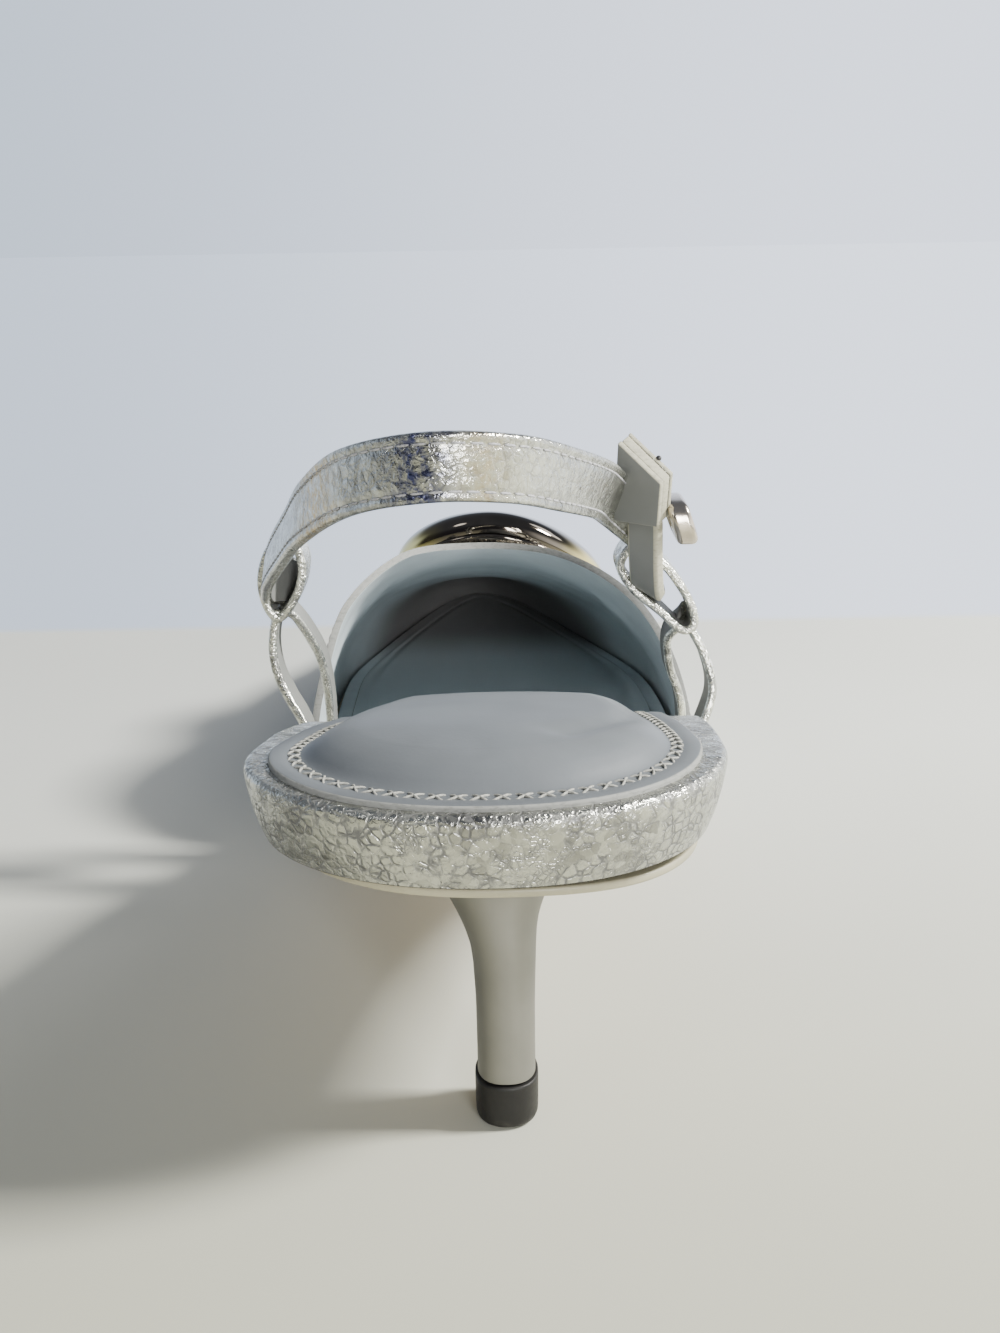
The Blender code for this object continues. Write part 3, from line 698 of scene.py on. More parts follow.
class PumpSizes(bpy.types.PropertyGroup):
    """Sizes of the fine pieces that a user may change."""

    sling_width: measure("Sling width", "Width of the heel strap", 8.0)
    sling_thickness: measure("Sling thickness", "Thickness of the heel strap", 1.7)
    eye_width: measure("Eye width", "Width of the loops' eyes", 7.5)
    leg_width: measure("Leg width", "Width of the loops' legs", 6.0)
    quarter_thickness: measure("Loop thickness", "Thickness of the side loops' leather", 1.4)
    buckle_strap_width: measure("Buckle strap width", "Width of the buckle's own strap", 5.8)
    buckle_strap_thickness: measure("Buckle strap thickness", "Thickness of the buckle's own strap", 2.0)
    thread: measure("Thread", "Diameter of the sewing thread", 0.32)
    stitch: measure("Stitch", "Length of one stitch on straps and topline", 1.7)
    chain_width: measure("Chain width", "Width of the sock's chain stitch", 1.6)
    chain_link: measure("Chain link", "Length of one link of the sock's chain stitch", 2.5)


def colour(name, description, default):
    """A colour property with its default."""
    return FloatVectorProperty(
        name=name, description=description, subtype="COLOR", size=3, min=0.0, max=1.0, default=default)


class PumpColours(bpy.types.PropertyGroup):
    """Colours of the pump's materials."""

    foil_light: colour("Foil light", "Bright cells of the crackled silver foil", (0.60, 0.605, 0.545))
    foil_grey: colour("Foil grey", "Duller cells of the foil", (0.30, 0.30, 0.28))
    # Foil crack is the grey between the cells, and also the colour of a dark painted reflection on the
    # strap
    foil_crack: colour("Foil crack", "Grey between the cells", (0.12, 0.12, 0.125))
    # The next two colours are painted reflections of the room on the strap's foil
    tint_blue: colour("Blue tint", "Cool tarnish at the back of the strap", (0.06, 0.07, 0.20))
    tint_gold: colour("Gold tint", "Warm tarnish of the strap", (0.52, 0.36, 0.12))
    sock_grey: colour("Sock grey", "Smooth leather of the sock", (0.14, 0.153, 0.166))
    strap_grey: colour("Strap grey", "Grey back of the straps", (0.185, 0.19, 0.18))
    lining_grey: colour("Lining grey", "Blue-grey lining inside the vamp", (0.55, 0.615, 0.645))
    sock_edge: colour("Sock edge", "Pale cut edge of the sock and the topline", (0.27, 0.275, 0.26))
    raw_edge: colour("Raw edge", "Cream raw leather edges", (0.44, 0.425, 0.33))
    thread: colour("Thread", "Cream sewing thread", (0.40, 0.40, 0.36))
    sole: colour("Sole", "Champagne edge of the outsole", (0.42, 0.39, 0.27))
    tread: colour("Tread", "Tan underside of the outsole", (0.55, 0.43, 0.28))
    heel_metal: colour("Heel metal", "Satin metal of the heel", (0.28, 0.275, 0.245))
    buckle_metal: colour("Buckle metal", "Warm silver of the buckle", (0.66, 0.59, 0.50))
    dome_metal: colour("Dome metal", "Dark polished ornament", (0.17, 0.145, 0.115))
    rim_metal: colour("Rim metal", "Gilt rim of the ornament", (0.85, 0.74, 0.26))
    rubber: colour("Rubber", "Black top piece", (0.008, 0.0075, 0.007))
    # Floor near is darker than floor far: painted shade of the light falling off towards the camera
    floor_near_painted_shade: colour("Floor near", "Warm pale floor under the heel", (0.47, 0.465, 0.365))
    floor_far: colour("Floor far", "Pale floor towards the toe", (0.73, 0.745, 0.70))
    wall_left: colour("Wall left", "Cool pale ground beyond the shoe, at the left", (0.43, 0.50, 0.605))
    wall_right: colour("Wall right", "Cool pale ground beyond the shoe, at the right", (0.80, 0.865, 1.0))
    room: colour("Room", "Dim room behind the camera", (0.03, 0.03, 0.038))
    window: colour("Window", "Daylight from the right", (1.0, 1.0, 0.97))
    ceiling: colour("Ceiling", "Soft light from above", (0.082, 0.089, 0.105))


def sizes():
    return bpy.context.scene.pump_sizes


def colours():
    return bpy.context.scene.pump_colours


# Shape functions


def cubic(value, rise, start, end, t):
    """A cubic that rises from a value with its slopes at start and end, at a share t of the way."""
    return value + start * t + (3 * rise - 2 * start - end) * t**2 + (start + end - 2 * rise) * t**3


def column(rows, name, at, key="station"):
    """A table's column at any station, as a smooth curve that never overshoots its rows."""
    known = np.array([getattr(row, key) for row in rows])
    value = np.array([getattr(row, name) for row in rows])
    at = np.clip(np.asarray(at, dtype=float), known[0], known[-1])
    step = np.diff(known)
    slope = np.diff(value) / step
    tangent = np.zeros(len(known))
    same_way = slope[:-1] * slope[1:] > 0.0
    product = slope[:-1] * slope[1:] * same_way
    total = np.where(same_way, slope[:-1] + slope[1:], 1.0)
    tangent[1:-1] = 2.0 * product / total
    tangent[0] = slope[0]
    tangent[-1] = slope[-1]
    span = np.clip(np.searchsorted(known, at, side="right") - 1, 0, len(step) - 1)
    t = (at - known[span]) / step[span]
    rise = value[span + 1] - value[span]
    start = tangent[span] * step[span]
    end = tangent[span + 1] * step[span]
    return cubic(value[span], rise, start, end, t)


def last(name, station):
    return column(LAST, name, station)


def smooth_step(low, high, value):
    """0 below low and 1 above high, with a soft rise between them."""
    t = np.clip((np.asarray(value, dtype=float) - low) / (high - low), 0.0, 1.0)
    return t * t * (3.0 - 2.0 * t)


def round_end(distance, reach, power):
    """Share of the full size at a distance from a rounded end."""
    u = np.clip(np.asarray(distance, dtype=float) / reach, 0.0, 1.0)
    return (1.0 - (1.0 - u) ** power) ** (1.0 / power)


def edge(side, station, skin=0.0):
    """x of the last's edge on a side (1 lateral, -1 medial), with a skin added round it."""
    spine = last("spine", station)
    reach = last("lateral" if side > 0 else "medial", station) + skin
    seat = round_end(np.asarray(station) + skin, SEAT_REACH, SEAT_POWER)
    toe = round_end(LENGTH + skin - np.asarray(station), TOE_REACH, TOE_POWER)
    return spine + (side * reach - spine) * seat * toe


def board_under(station):
    """Height of the covered insole's underside, which the vamp's edge shares."""
    return last("tread", station) + OUTSOLE_THICKNESS + FIT_GAP


def board_top(station):
    return board_under(station) + last("board", station)


def plan_ring(margin, steps=PLATE_STEPS):
    """The last's outline moved out by a margin: x and station, from the heel by the lateral side."""
    share = (1.0 - np.cos(np.linspace(0.0, math.pi, steps + 1))) / 2.0
    stations = LENGTH * share
    x = np.concatenate([edge(1, stations), edge(-1, stations[-2:0:-1])])
    s = np.concatenate([stations, stations[-2:0:-1]])
    along_x = np.roll(x, -1) - np.roll(x, 1)
    along_s = np.roll(s, -1) - np.roll(s, 1)
    size = np.hypot(along_x, along_s)
    out = margin(s)
    return x + out * along_s / size, s - out * along_x / size


def pad_share(station):
    """The heel pad's height along the shoe: full over the seat, gone at the arch."""
    return 1.0 - smooth_step(PAD_START, PAD_END, station)


def sock_top(inset, station):
    """Height of the sock's face at an inset from its edge."""
    height = column(SOCK_ROWS, "height", inset, key="inset")
    pad = column(SOCK_ROWS, "pad", inset, key="inset")
    return board_top(station) + FIT_GAP + height + PAD_HEIGHT * pad * pad_share(station)


def unit(vectors):
    """Vectors at a length of 1."""
    return vectors / np.linalg.norm(vectors, axis=-1, keepdims=True)


def world(points):
    """Station-frame millimetres as the frame's metres."""
    return np.asarray(points, dtype=float) * MM + SHIFT


# Modelling helpers


def close_mesh():
    """Merge the active piece's coinciding points and turn its faces outwards."""
    bpy.ops.object.mode_set(mode="EDIT")
    bpy.ops.mesh.select_all(action="SELECT")
    bpy.ops.mesh.remove_doubles(threshold=MERGE_DISTANCE)
    bpy.ops.mesh.normals_make_consistent(inside=False)
    bpy.ops.object.mode_set(mode="OBJECT")


def primitive(name, add, **settings):
    """A primitive at the origin, added with nothing else selected."""
    bpy.ops.object.select_all(action="DESELECT")
    add(location=(0.0, 0.0, 0.0), **settings)
    piece = bpy.context.object
    piece.name = name
    return piece


def activate(piece):
    """Make a piece the active one and the only one selected."""
    bpy.ops.object.select_all(action="DESELECT")
    piece.select_set(True)
    bpy.context.view_layer.objects.active = piece


def loft(name, rows, closed=True, row_slots=None, point_slots=None):
    """A primitive grid laid over rows of points, and merged where they close.

    row_slots gives the material slot of each strip between two rows, point_slots the slot of each
    strip between two points of a row.
    """
    rows = np.asarray(rows, dtype=float)
    if closed:
        rows = np.concatenate([rows, rows[:, :1]], axis=1)
    row_count, point_count = rows.shape[:2]
    piece = primitive(
        name, bpy.ops.mesh.primitive_grid_add,
        x_subdivisions=point_count - 1, y_subdivisions=row_count - 1, size=2.0)
    mesh = piece.data
    mesh.name = name
    if len(mesh.vertices) != row_count * point_count:
        raise RuntimeError(f"{name}: the grid has {len(mesh.vertices)} points")
    flat = np.empty(len(mesh.vertices) * 3)
    mesh.vertices.foreach_get("co", flat)
    share = (flat.reshape(-1, 3)[:, :2] + 1.0) / 2.0
    at = np.rint(share * (point_count - 1, row_count - 1)).astype(int)
    mesh.vertices.foreach_set("co", world(rows[at[:, 1], at[:, 0]]).ravel())
    corners = np.empty(len(mesh.loops), dtype=int)
    mesh.loops.foreach_get("vertex_index", corners)
    for axis, slots in ((1, row_slots), (0, point_slots)):
        if slots is not None:
            strip = at[corners, axis].reshape(-1, 4).min(axis=1)
            mesh.polygons.foreach_set("material_index", np.asarray(slots, dtype=int)[strip])
    mesh.update()
    close_mesh()
    return piece


def apply_modifier(piece, kind, **settings):
    """Add a modifier with its settings and apply it."""
    activate(piece)
    modifier = piece.modifiers.new(kind.lower(), kind)
    for name, value in settings.items():
        setattr(modifier, name, value)
    bpy.ops.object.modifier_apply(modifier=modifier.name)


def add_finishes(piece, finishes):
    """Give a piece its finishes, in the order of its slots."""
    for finish in finishes:
        piece.data.materials.append(finish)


def dress(piece, slot, *finishes, node=None, angle=SMOOTH_ANGLE):
    """Give a piece its finishes, smooth it, and let it ride on the shoe in a node's place."""
    add_finishes(piece, finishes)
    activate(piece)
    bpy.ops.object.shade_smooth_by_angle(angle=math.radians(angle))
    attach(piece, "root")
    if node is not None:
        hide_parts(node)
    return piece


def smooth_path(rows, closed, between):
    """Points on a smooth curve through a table's rows, with every column smoothed alike."""
    points = np.array(rows, dtype=float)
    if closed:
        before, after = np.roll(points, 1, axis=0), np.roll(points, -1, axis=0)
        spans = range(len(points))
    else:
        before = np.vstack([2 * points[0] - points[1], points[:-1]])
        after = np.vstack([points[1:], 2 * points[-1] - points[-2]])
        spans = range(len(points) - 1)
    tangent = (after - before) / 2.0
    path = []
    for span in spans:
        following = (span + 1) % len(points)
        rise = points[following] - points[span]
        for step in range(between):
            path.append(cubic(points[span], rise, tangent[span], tangent[following], step / between))
    if not closed:
        path.append(points[-1])
    return np.array(path)


def plate_ring(margin, inset, share=1.0, steps=PLATE_STEPS):
    """A ring at an inset from a plate's edge, drawn in towards the plate's middle line by share."""
    x, s = plan_ring(lambda at: column(MARGINS, margin, at) - inset(at), steps)
    partner = -np.arange(len(x)) % len(x)
    middle_x = (x + x[partner]) / 2.0
    middle_s = (s + s[partner]) / 2.0
    return middle_x + (x - middle_x) * share, middle_s + (s - middle_s) * share


def plate_rings(margin, rows, base, thickness):
    """Rings of a plate on the last's outline, from the middle underneath to the middle on top."""
    rings = []
    for row in rows:
        x, s = plate_ring(margin, lambda at: row.inset * thickness(at), row.share)
        rings.append(np.stack([x, s, base(s) + row.height * thickness(s)], axis=1))
    return np.array(rings)


def strap_section(width, thickness, rounding, troughs=(), trough_depth=0.0):
    """A strap's section as across and out of each point, and the side that each strip is on.

    Sides are 0 for the face, 1 for the back and 2 for the edges. Sewn troughs run along the face.
    """
    half, out = width / 2.0, thickness / 2.0
    flat = np.linspace(-(half - rounding), half - rounding, FLAT_STEPS)
    dip = np.zeros(FLAT_STEPS)
    for trough in troughs:
        dip += trough_depth * np.exp(-(((np.abs(flat) - trough) / TROUGH_HALF_WIDTH) ** 2))
    turn = np.linspace(0.0, math.pi / 2.0, EDGE_STEPS + 1)[1:]
    bow_across = half - rounding + rounding * np.sin(turn)
    bow_out = out - rounding + rounding * np.cos(turn)
    edge_across = np.concatenate([bow_across, bow_across[::-1]])
    edge_out = np.concatenate([bow_out, -bow_out[::-1]])
    across = np.concatenate([flat, edge_across, flat[::-1], -edge_across])
    outward = np.concatenate([out - dip, edge_out, np.full(FLAT_STEPS, -out), -edge_out])
    edge_strips = 2 * EDGE_STEPS + 1
    sides = [0] * (FLAT_STEPS - 1) + [2] * edge_strips + [1] * (FLAT_STEPS - 1) + [2] * edge_strips
    return across, outward, sides


def band_frame(rows, upright, closed, between):
    """A band's centre line with the directions along it, across it and out of its face."""
    curve = smooth_path(rows, closed, between)
    path, lean = curve[:, :3], np.radians(curve[:, 3:])
    if closed:
        along = np.roll(path, -1, axis=0) - np.roll(path, 1, axis=0)
    else:
        along = np.gradient(path, axis=0)
    along = unit(along)
    face = unit(np.cross(along, np.array(upright, dtype=float)))
    across = np.cross(face, along)
    across, face = across * np.cos(lean) + face * np.sin(lean), face * np.cos(lean) - across * np.sin(lean)
    return path, along, across, face


def band_rows(rows, section, upright, closed=False, between=BAND_STEPS):
    """Rows of section points along a band, closed at its ends."""
    path, along, across, face = band_frame(rows, upright, closed, between)
    wide, deep = section[:2]
    rings = path[:, None] + across[:, None] * wide[None, :, None] + face[:, None] * deep[None, :, None]
    if closed:
        return np.concatenate([rings, rings[:1]])
    ends = []
    for end, direction in ((0, -1.0), (-1, 1.0)):
        shrunk = path[end] + (rings[end] - path[end]) * END_SHRINK + along[end] * direction * END_BULGE
        centre = np.repeat((path[end] + along[end] * direction * END_BULGE)[None], rings.shape[1], axis=0)
        ends.append((shrunk, centre))
    (first, first_centre), (final, final_centre) = ends
    return np.concatenate([[first_centre], [first], rings, [final], [final_centre]])


def stitch_row(name, places, along, normal, finish):
    """Short stitches at places in the station frame, each lying along its seam."""
    piece = primitive(
        name, bpy.ops.mesh.primitive_uv_sphere_add, segments=STITCH_SEGMENTS, ring_count=STITCH_RINGS,
        radius=1.0)
    one = np.array([vertex.co for vertex in piece.data.vertices])
    faces = [list(polygon.vertices) for polygon in piece.data.polygons]
    along = unit(along)
    side = unit(np.cross(normal, along))
    up = np.cross(along, side)
    half, radius = sizes().stitch / 2.0, sizes().thread / 2.0
    lengthwise = np.sign(one[:, 2]) * np.abs(one[:, 2]) ** STITCH_BLUNTNESS * half
    points = (
        places[:, None]
        + along[:, None] * lengthwise[None, :, None]
        + side[:, None] * (one[:, 0] * radius)[None, :, None]
        + up[:, None] * (one[:, 1] * radius)[None, :, None]
    )
    every_face = []
    for first in range(0, len(places) * len(one), len(one)):
        every_face.extend([first + corner for corner in face] for face in faces)
    mesh = bpy.data.meshes.new(name)
    mesh.from_pydata(world(points.reshape(-1, 3)).tolist(), [], every_face)
    mesh.update()
    old = piece.data
    piece.data = mesh
    bpy.data.meshes.remove(old)
    close_mesh()
    return dress(piece, "silver_leather", finish, angle=SHARP_ANGLE)


def even_places(points, spacing):
    """Even steps along a line of points: the index, as a real number, of each step."""
    travelled = np.concatenate([[0.0], np.cumsum(np.linalg.norm(np.diff(points, axis=0), axis=1))])
    wanted = np.arange(spacing / 2.0, travelled[-1], spacing)
    return np.interp(wanted, travelled, np.arange(len(points)))


def at_index(values, index):
    """Values between the rows of an array."""
    low = np.clip(np.floor(index).astype(int), 0, len(values) - 2)
    share = (index - low)[:, None]
    return values[low] * (1.0 - share) + values[low + 1] * share


# Materials


def math_step(operation, swapped=False):
    """A method that adds a Math node for a value and another number."""
    def step(self, other=0.0):
        first, second = (other, self) if swapped else (self, other)
        return self.tree.node("ShaderNodeMath", {"operation": operation}, {0: first, 1: second})
    return step


class Value:
    """A number or a colour in a shader: arithmetic on it adds Math nodes."""

    def __init__(self, tree, socket):
        self.tree = tree
        self.socket = socket

    __add__ = math_step("ADD")
    __radd__ = math_step("ADD", swapped=True)
    __sub__ = math_step("SUBTRACT")
    __rsub__ = math_step("SUBTRACT", swapped=True)
    __mul__ = math_step("MULTIPLY")
    __rmul__ = math_step("MULTIPLY", swapped=True)
    __truediv__ = math_step("DIVIDE")
    __rtruediv__ = math_step("DIVIDE", swapped=True)
    __pow__ = math_step("POWER")
    __rpow__ = math_step("POWER", swapped=True)
    high = math_step("MAXIMUM")
    size = math_step("ABSOLUTE")

    def soft(self, low, high):
        """0 below low and 1 above high, with a soft rise between them."""
        return self.tree.node(
            "ShaderNodeMapRange",
            {"interpolation_type": "SMOOTHSTEP"},
            {"Value": self, "From Min": low, "From Max": high, "To Min": 0.0, "To Max": 1.0},
        )


class Tree:
    """A node tree with short ways to add nodes."""

    def __init__(self, tree):
        self.tree = tree

    def node(self, kind, settings=None, sockets=None, output=0):
        """Add a node with its settings and its sockets' values or links, and wrap one output."""
        node = self.tree.nodes.new(kind)
        for name, value in (settings or {}).items():
            setattr(node, name, value)
        for name, value in (sockets or {}).items():
            if isinstance(value, Value):
                self.tree.links.new(value.socket, node.inputs[name])
            else:
                node.inputs[name].default_value = value
        return Value(self, node.outputs[output])

    def place(self):
        """Object coordinates, in metres."""
        return self.node("ShaderNodeTexCoord", output="Object")

    def part_of(self, vector, axis):
        return self.node("ShaderNodeSeparateXYZ", {}, {"Vector": vector}, output=axis)

    def vectors(self, operation, first, second, output=0):
        """Vector arithmetic on two vectors."""
        return self.node("ShaderNodeVectorMath", {"operation": operation}, {0: first, 1: second}, output)

    def noise(self, vector, row):
        """A noise with the settings of its row."""
        sockets = {"Vector": vector, "Scale": row.scale, "Detail": row.detail, "Roughness": row.rough}
        return self.node("ShaderNodeTexNoise", {}, sockets, output="Fac")

    def warped(self, vector, scale, amount):
        """A vector moved about by a soft noise."""
        drift = self.node("ShaderNodeTexNoise", {}, {"Vector": vector, "Scale": scale}, output="Color")
        centred = self.vectors("SUBTRACT", drift, NOISE_MIDDLE)
        return self.vectors("ADD", vector, self.vectors("MULTIPLY", centred, (amount, amount, amount)))

    def cells(self, vector, scale, feature, output):
        """A Voronoi texture's output for one of its features."""
        sockets = {"Vector": vector, "Scale": scale}
        return self.node("ShaderNodeTexVoronoi", {"feature": feature}, sockets, output)

    def cell_edge(self, vector, scale):
        """Distance to the nearest border between cells, in cell sizes."""
        return self.cells(vector, scale, "DISTANCE_TO_EDGE", "Distance")

    def cell_tone(self, vector, scale):
        """A number that each cell keeps to itself."""
        return self.part_of(self.cells(vector, scale, "F1", "Color"), "X")

    def blend(self, share, first, second):
        """From the first colour to the second as share goes from 0 to 1."""
        sockets = {MIX_SHARE: share, MIX_FIRST: full_colour(first), MIX_SECOND: full_colour(second)}
        return self.node("ShaderNodeMix", {"data_type": "RGBA"}, sockets, output=MIX_RESULT)

    def bump(self, height, strength, distance):
        sockets = {"Height": height, "Strength": strength, "Distance": distance}
        return self.node("ShaderNodeBump", {}, sockets, output="Normal")

    def along_shoe(self, place, start, length):
        """0 up to a station and 1 from a length past it, with a soft rise between them."""
        low = float(SHIFT[1]) + start * MM
        return self.part_of(place, "Y").soft(low, low + length * MM)


class Finish(Tree):
    """A material that is built round one Principled shader."""

    def __init__(self, name, **constants):
        self.material = bpy.data.materials.new(name)
        self.material.use_nodes = True
        super().__init__(self.material.node_tree)
        self.shader = self.tree.nodes["Principled BSDF"]
        for socket, value in constants.items():
            self.shader.inputs[socket.replace("_", " ")].default_value = value

    def feed(self, **sockets):
        """Link values to the shader's sockets, and give the finished material."""
        for name, value in sockets.items():
            self.tree.links.new(value.socket, self.shader.inputs[name.replace("_", " ")])
        return self.material


def full_colour(value):
    """A colour with its alpha, or a linked colour as it is."""
    return value if isinstance(value, Value) else (*value, 1.0)


def toned(base, share):
    """A colour at a share of its brightness."""
    return tuple(channel * share for channel in base)


def foil_finish(name, with_painted_reflections=False, crackle=1.0, shine=1.0):
    """Silver foil on leather, cracked into small cells, with dull and bright patches, and painted
    reflections where asked.
    """
    shade = colours()
    finish = Finish(name, Specular_IOR_Level=0.5)
    place = warped = finish.place()
    for scale, amount in FOIL_WARPS:
        warped = finish.warped(warped, scale, amount)
    patch = finish.noise(place, FOIL_PATCH)
    coarse = 1.0 - finish.cell_edge(warped, FOIL_CELLS).soft(*COARSE_CRACK_WIDTH)
    coarse = coarse * patch.soft(*COARSE_CRACK_PATCH)
    plain = 1.0 - patch.soft(*FINE_CRACK_PATCH)
    fine = (1.0 - finish.cell_edge(warped, FOIL_FINE_CELLS).soft(*FINE_CRACK_WIDTH)) * plain
    worn = finish.noise(place, FOIL_WEAR).soft(*CRACK_WEAR_RANGE)
    cracks = coarse.high(fine * FINE_CRACK_SHARE) * worn * crackle
    cell_tone = finish.cell_tone(warped, FOIL_CELLS) * FOIL_CELL_SHARE
    tone = cell_tone + finish.noise(place, FOIL_TONE) * FOIL_CLOUD_SHARE
    foil = finish.blend(tone.soft(*FOIL_TONE_RANGE), shade.foil_grey, toned(shade.foil_light, shine))
    # Painted reflections: gold, blue and dark patches at the back of the strap stand in for the room
    # mirrored in the foil
    for row in FOIL_PAINTED_REFLECTIONS if with_painted_reflections else ():
        reach = (finish.part_of(place, "X") - (row.x * MM + float(SHIFT[0]))).size()
        reflection_mask = 1.0 - reach.soft(0.0, row.half_width * MM)
        behind = 1.0 - finish.along_shoe(place, PAINTED_REFLECTION_FRONT, PAINTED_REFLECTION_FADE)
        speckle = finish.noise(warped, FOIL_SPECKLE).soft(*PAINTED_REFLECTION_SPECKLE_RANGE)
        foil = finish.blend(reflection_mask * behind * speckle * row.amount, foil, getattr(shade, row.colour))
    relief = finish.noise(warped, FOIL_CRUMPLE) + tone * FOIL_TONE_RELIEF - cracks * CRACK_SINK
    return finish.feed(
        Base_Color=finish.blend(cracks * CRACK_DARKENING, foil, shade.foil_crack),
        Metallic=1.0 - cracks * CRACK_DULLING,
        Roughness=FOIL_ROUGHNESS + patch * FOIL_PATCH_ROUGHNESS + cracks * CRACK_ROUGHNESS,
        Normal=finish.bump(relief, *FOIL_BUMP),
    )


def lining_finish(name, base, gloss=0.5, toe_painted_shade=0.0, fore=None):
    """Smooth lining leather: fine pores, a faint mottle, and painted shade that darkens it deep in the toe.
    """
    finish = Finish(name, Specular_IOR_Level=0.35)
    place = finish.place()
    mottle = finish.noise(place, LINING_MOTTLE)
    pores = finish.noise(place, LINING_PORES)
    leather = finish.blend(mottle.soft(*CLOUD_RANGE), *(toned(base, share) for share in LINING_TONES))
    if fore is not None:
        leather = finish.blend(finish.along_shoe(place, FORE_START, FORE_LENGTH), leather, fore)
    # Painted shade deep in the toe, drawn as a darker colour
    if toe_painted_shade > 0.0:
        toe_shade_mask = finish.along_shoe(place, TOE_PAINTED_SHADE_START, TOE_PAINTED_SHADE_LENGTH)
        leather = finish.blend(toe_shade_mask * toe_painted_shade, leather, TOE_PAINTED_SHADE_COLOUR)
    return finish.feed(
        Base_Color=leather,
        Roughness=gloss + mottle * MOTTLE_ROUGHNESS,
        Normal=finish.bump(pores + mottle * MOTTLE_RELIEF, *LINING_BUMP),
    )


def grained_finish(name, base, grain):
    """A dull finish of one grain: the fibres of a cut leather edge, or twisted sewing thread."""
    finish = Finish(name, Specular_IOR_Level=grain.specular)
    fibre = finish.noise(finish.vectors("MULTIPLY", finish.place(), grain.stretch), grain.noise)
    return finish.feed(
        Base_Color=finish.blend(fibre.soft(*grain.dark_range), toned(base, grain.dark), base),
        Roughness=grain.gloss + fibre * grain.swing,
        Normal=finish.bump(fibre, *grain.bump),
    )


def metal_finish(name, base, roughness, brushing, mottle):
    """Satin or polished metal with fine upright brushing and faint handling marks."""
    finish = Finish(name, Metallic=1.0)
    place = finish.place()
    streak = finish.noise(finish.vectors("MULTIPLY", place, BRUSHED), METAL_STREAK)
    cloud = finish.noise(place, METAL_CLOUD)
    return finish.feed(
        Base_Color=finish.blend(cloud.soft(*CLOUD_RANGE), toned(base, 1.0 - mottle), base),
        Roughness=roughness + streak * brushing + cloud * METAL_CLOUD_ROUGHNESS,
        Normal=finish.bump(streak, brushing, METAL_BUMP_DEPTH),
    )


def dome_finish(name):
    """Dark polished metal that warms to gilt at the ornament's edge on its left and right sides, partly a
    painted gilt reflection, with hairline marks.
    """
    shade = colours()
    finish = Finish(name, Metallic=1.0, Coat_Weight=0.7, Coat_Roughness=0.03)
    place = finish.place()
    centre_x = float(SHIFT[0]) + ORNAMENT_X * MM
    centre_y = float(SHIFT[1]) + ORNAMENT_STATION * MM
    across = (finish.part_of(place, "X") - centre_x) / (ORNAMENT_HALF_WIDTH * MM)
    along = (finish.part_of(place, "Y") - centre_y) / (ORNAMENT_HALF_LENGTH * MM)
    rim = (across * across + along * along) ** 0.5
    cloud = finish.noise(place, DOME_CLOUD)
    # Gilt only at the left and right sides: partly painted reflection
    gilt = (rim + cloud * GILT_WANDER).soft(*GILT_RANGE) * across.size().soft(*GILT_REFLECTION_SIDE_RANGE)
    dark = finish.blend(
        cloud.soft(*DOME_CLOUD_RANGE), toned(shade.dome_metal, DOME_DARK), shade.dome_metal)
    return finish.feed(
        Base_Color=finish.blend(gilt * GILT_SHARE, dark, shade.rim_metal),
        Roughness=DOME_ROUGHNESS + finish.noise(place, DOME_HAIRLINE) * HAIRLINE_ROUGHNESS,
    )


def rubber_finish(name):
    """Black walking rubber, dull, with a dusty lower edge."""
    finish = Finish(name, Specular_IOR_Level=0.35)
    place = finish.place()
    grain = finish.noise(place, RUBBER_GRAIN)
    low = 1.0 - finish.part_of(place, "Z").soft(0.0, DUST_HEIGHT)
    dust = low * finish.noise(place, RUBBER_DUST).soft(*DUST_RANGE)
    return finish.feed(
        Base_Color=finish.blend(dust * DUST_SHARE, colours().rubber, DUST_COLOUR),
        Roughness=RUBBER_ROUGHNESS + grain * RUBBER_GRAIN_ROUGHNESS,
        Normal=finish.bump(grain, *RUBBER_BUMP),
    )


def sole_finish(name, base, worn):
    """Sole leather: a satin painted edge, or a tread with fine scuffs."""
    finish = Finish(name, Specular_IOR_Level=0.45)
    place = finish.place()
    cloud = finish.noise(place, SOLE_CLOUD)
    streak = finish.noise(finish.vectors("MULTIPLY", place, SCUFFED), SOLE_SCUFF)
    scuff = streak.soft(*SCUFF_RANGE)
    leather = finish.blend(cloud.soft(*CLOUD_RANGE), toned(base, SOLE_DARK), base)
    relief = scuff * worn + finish.noise(place, SOLE_GRAIN) * SOLE_GRAIN_RELIEF
    return finish.feed(
        Base_Color=finish.blend(scuff * worn, leather, toned(base, SCUFF_LIGHT)),
        Roughness=SOLE_ROUGHNESS + cloud * SOLE_CLOUD_ROUGHNESS + scuff * SCUFF_ROUGHNESS,
        Normal=finish.bump(relief, *SOLE_BUMP),
    )


def wall_side(tree, place, back):
    """Share from the wall's left to its right, as seen from the camera's side."""
    ahead = tree.part_of(place, "Y") + back
    return (tree.part_of(place, "X") / ahead.high(WALL_NEAREST)).soft(*WALL_RANGE)


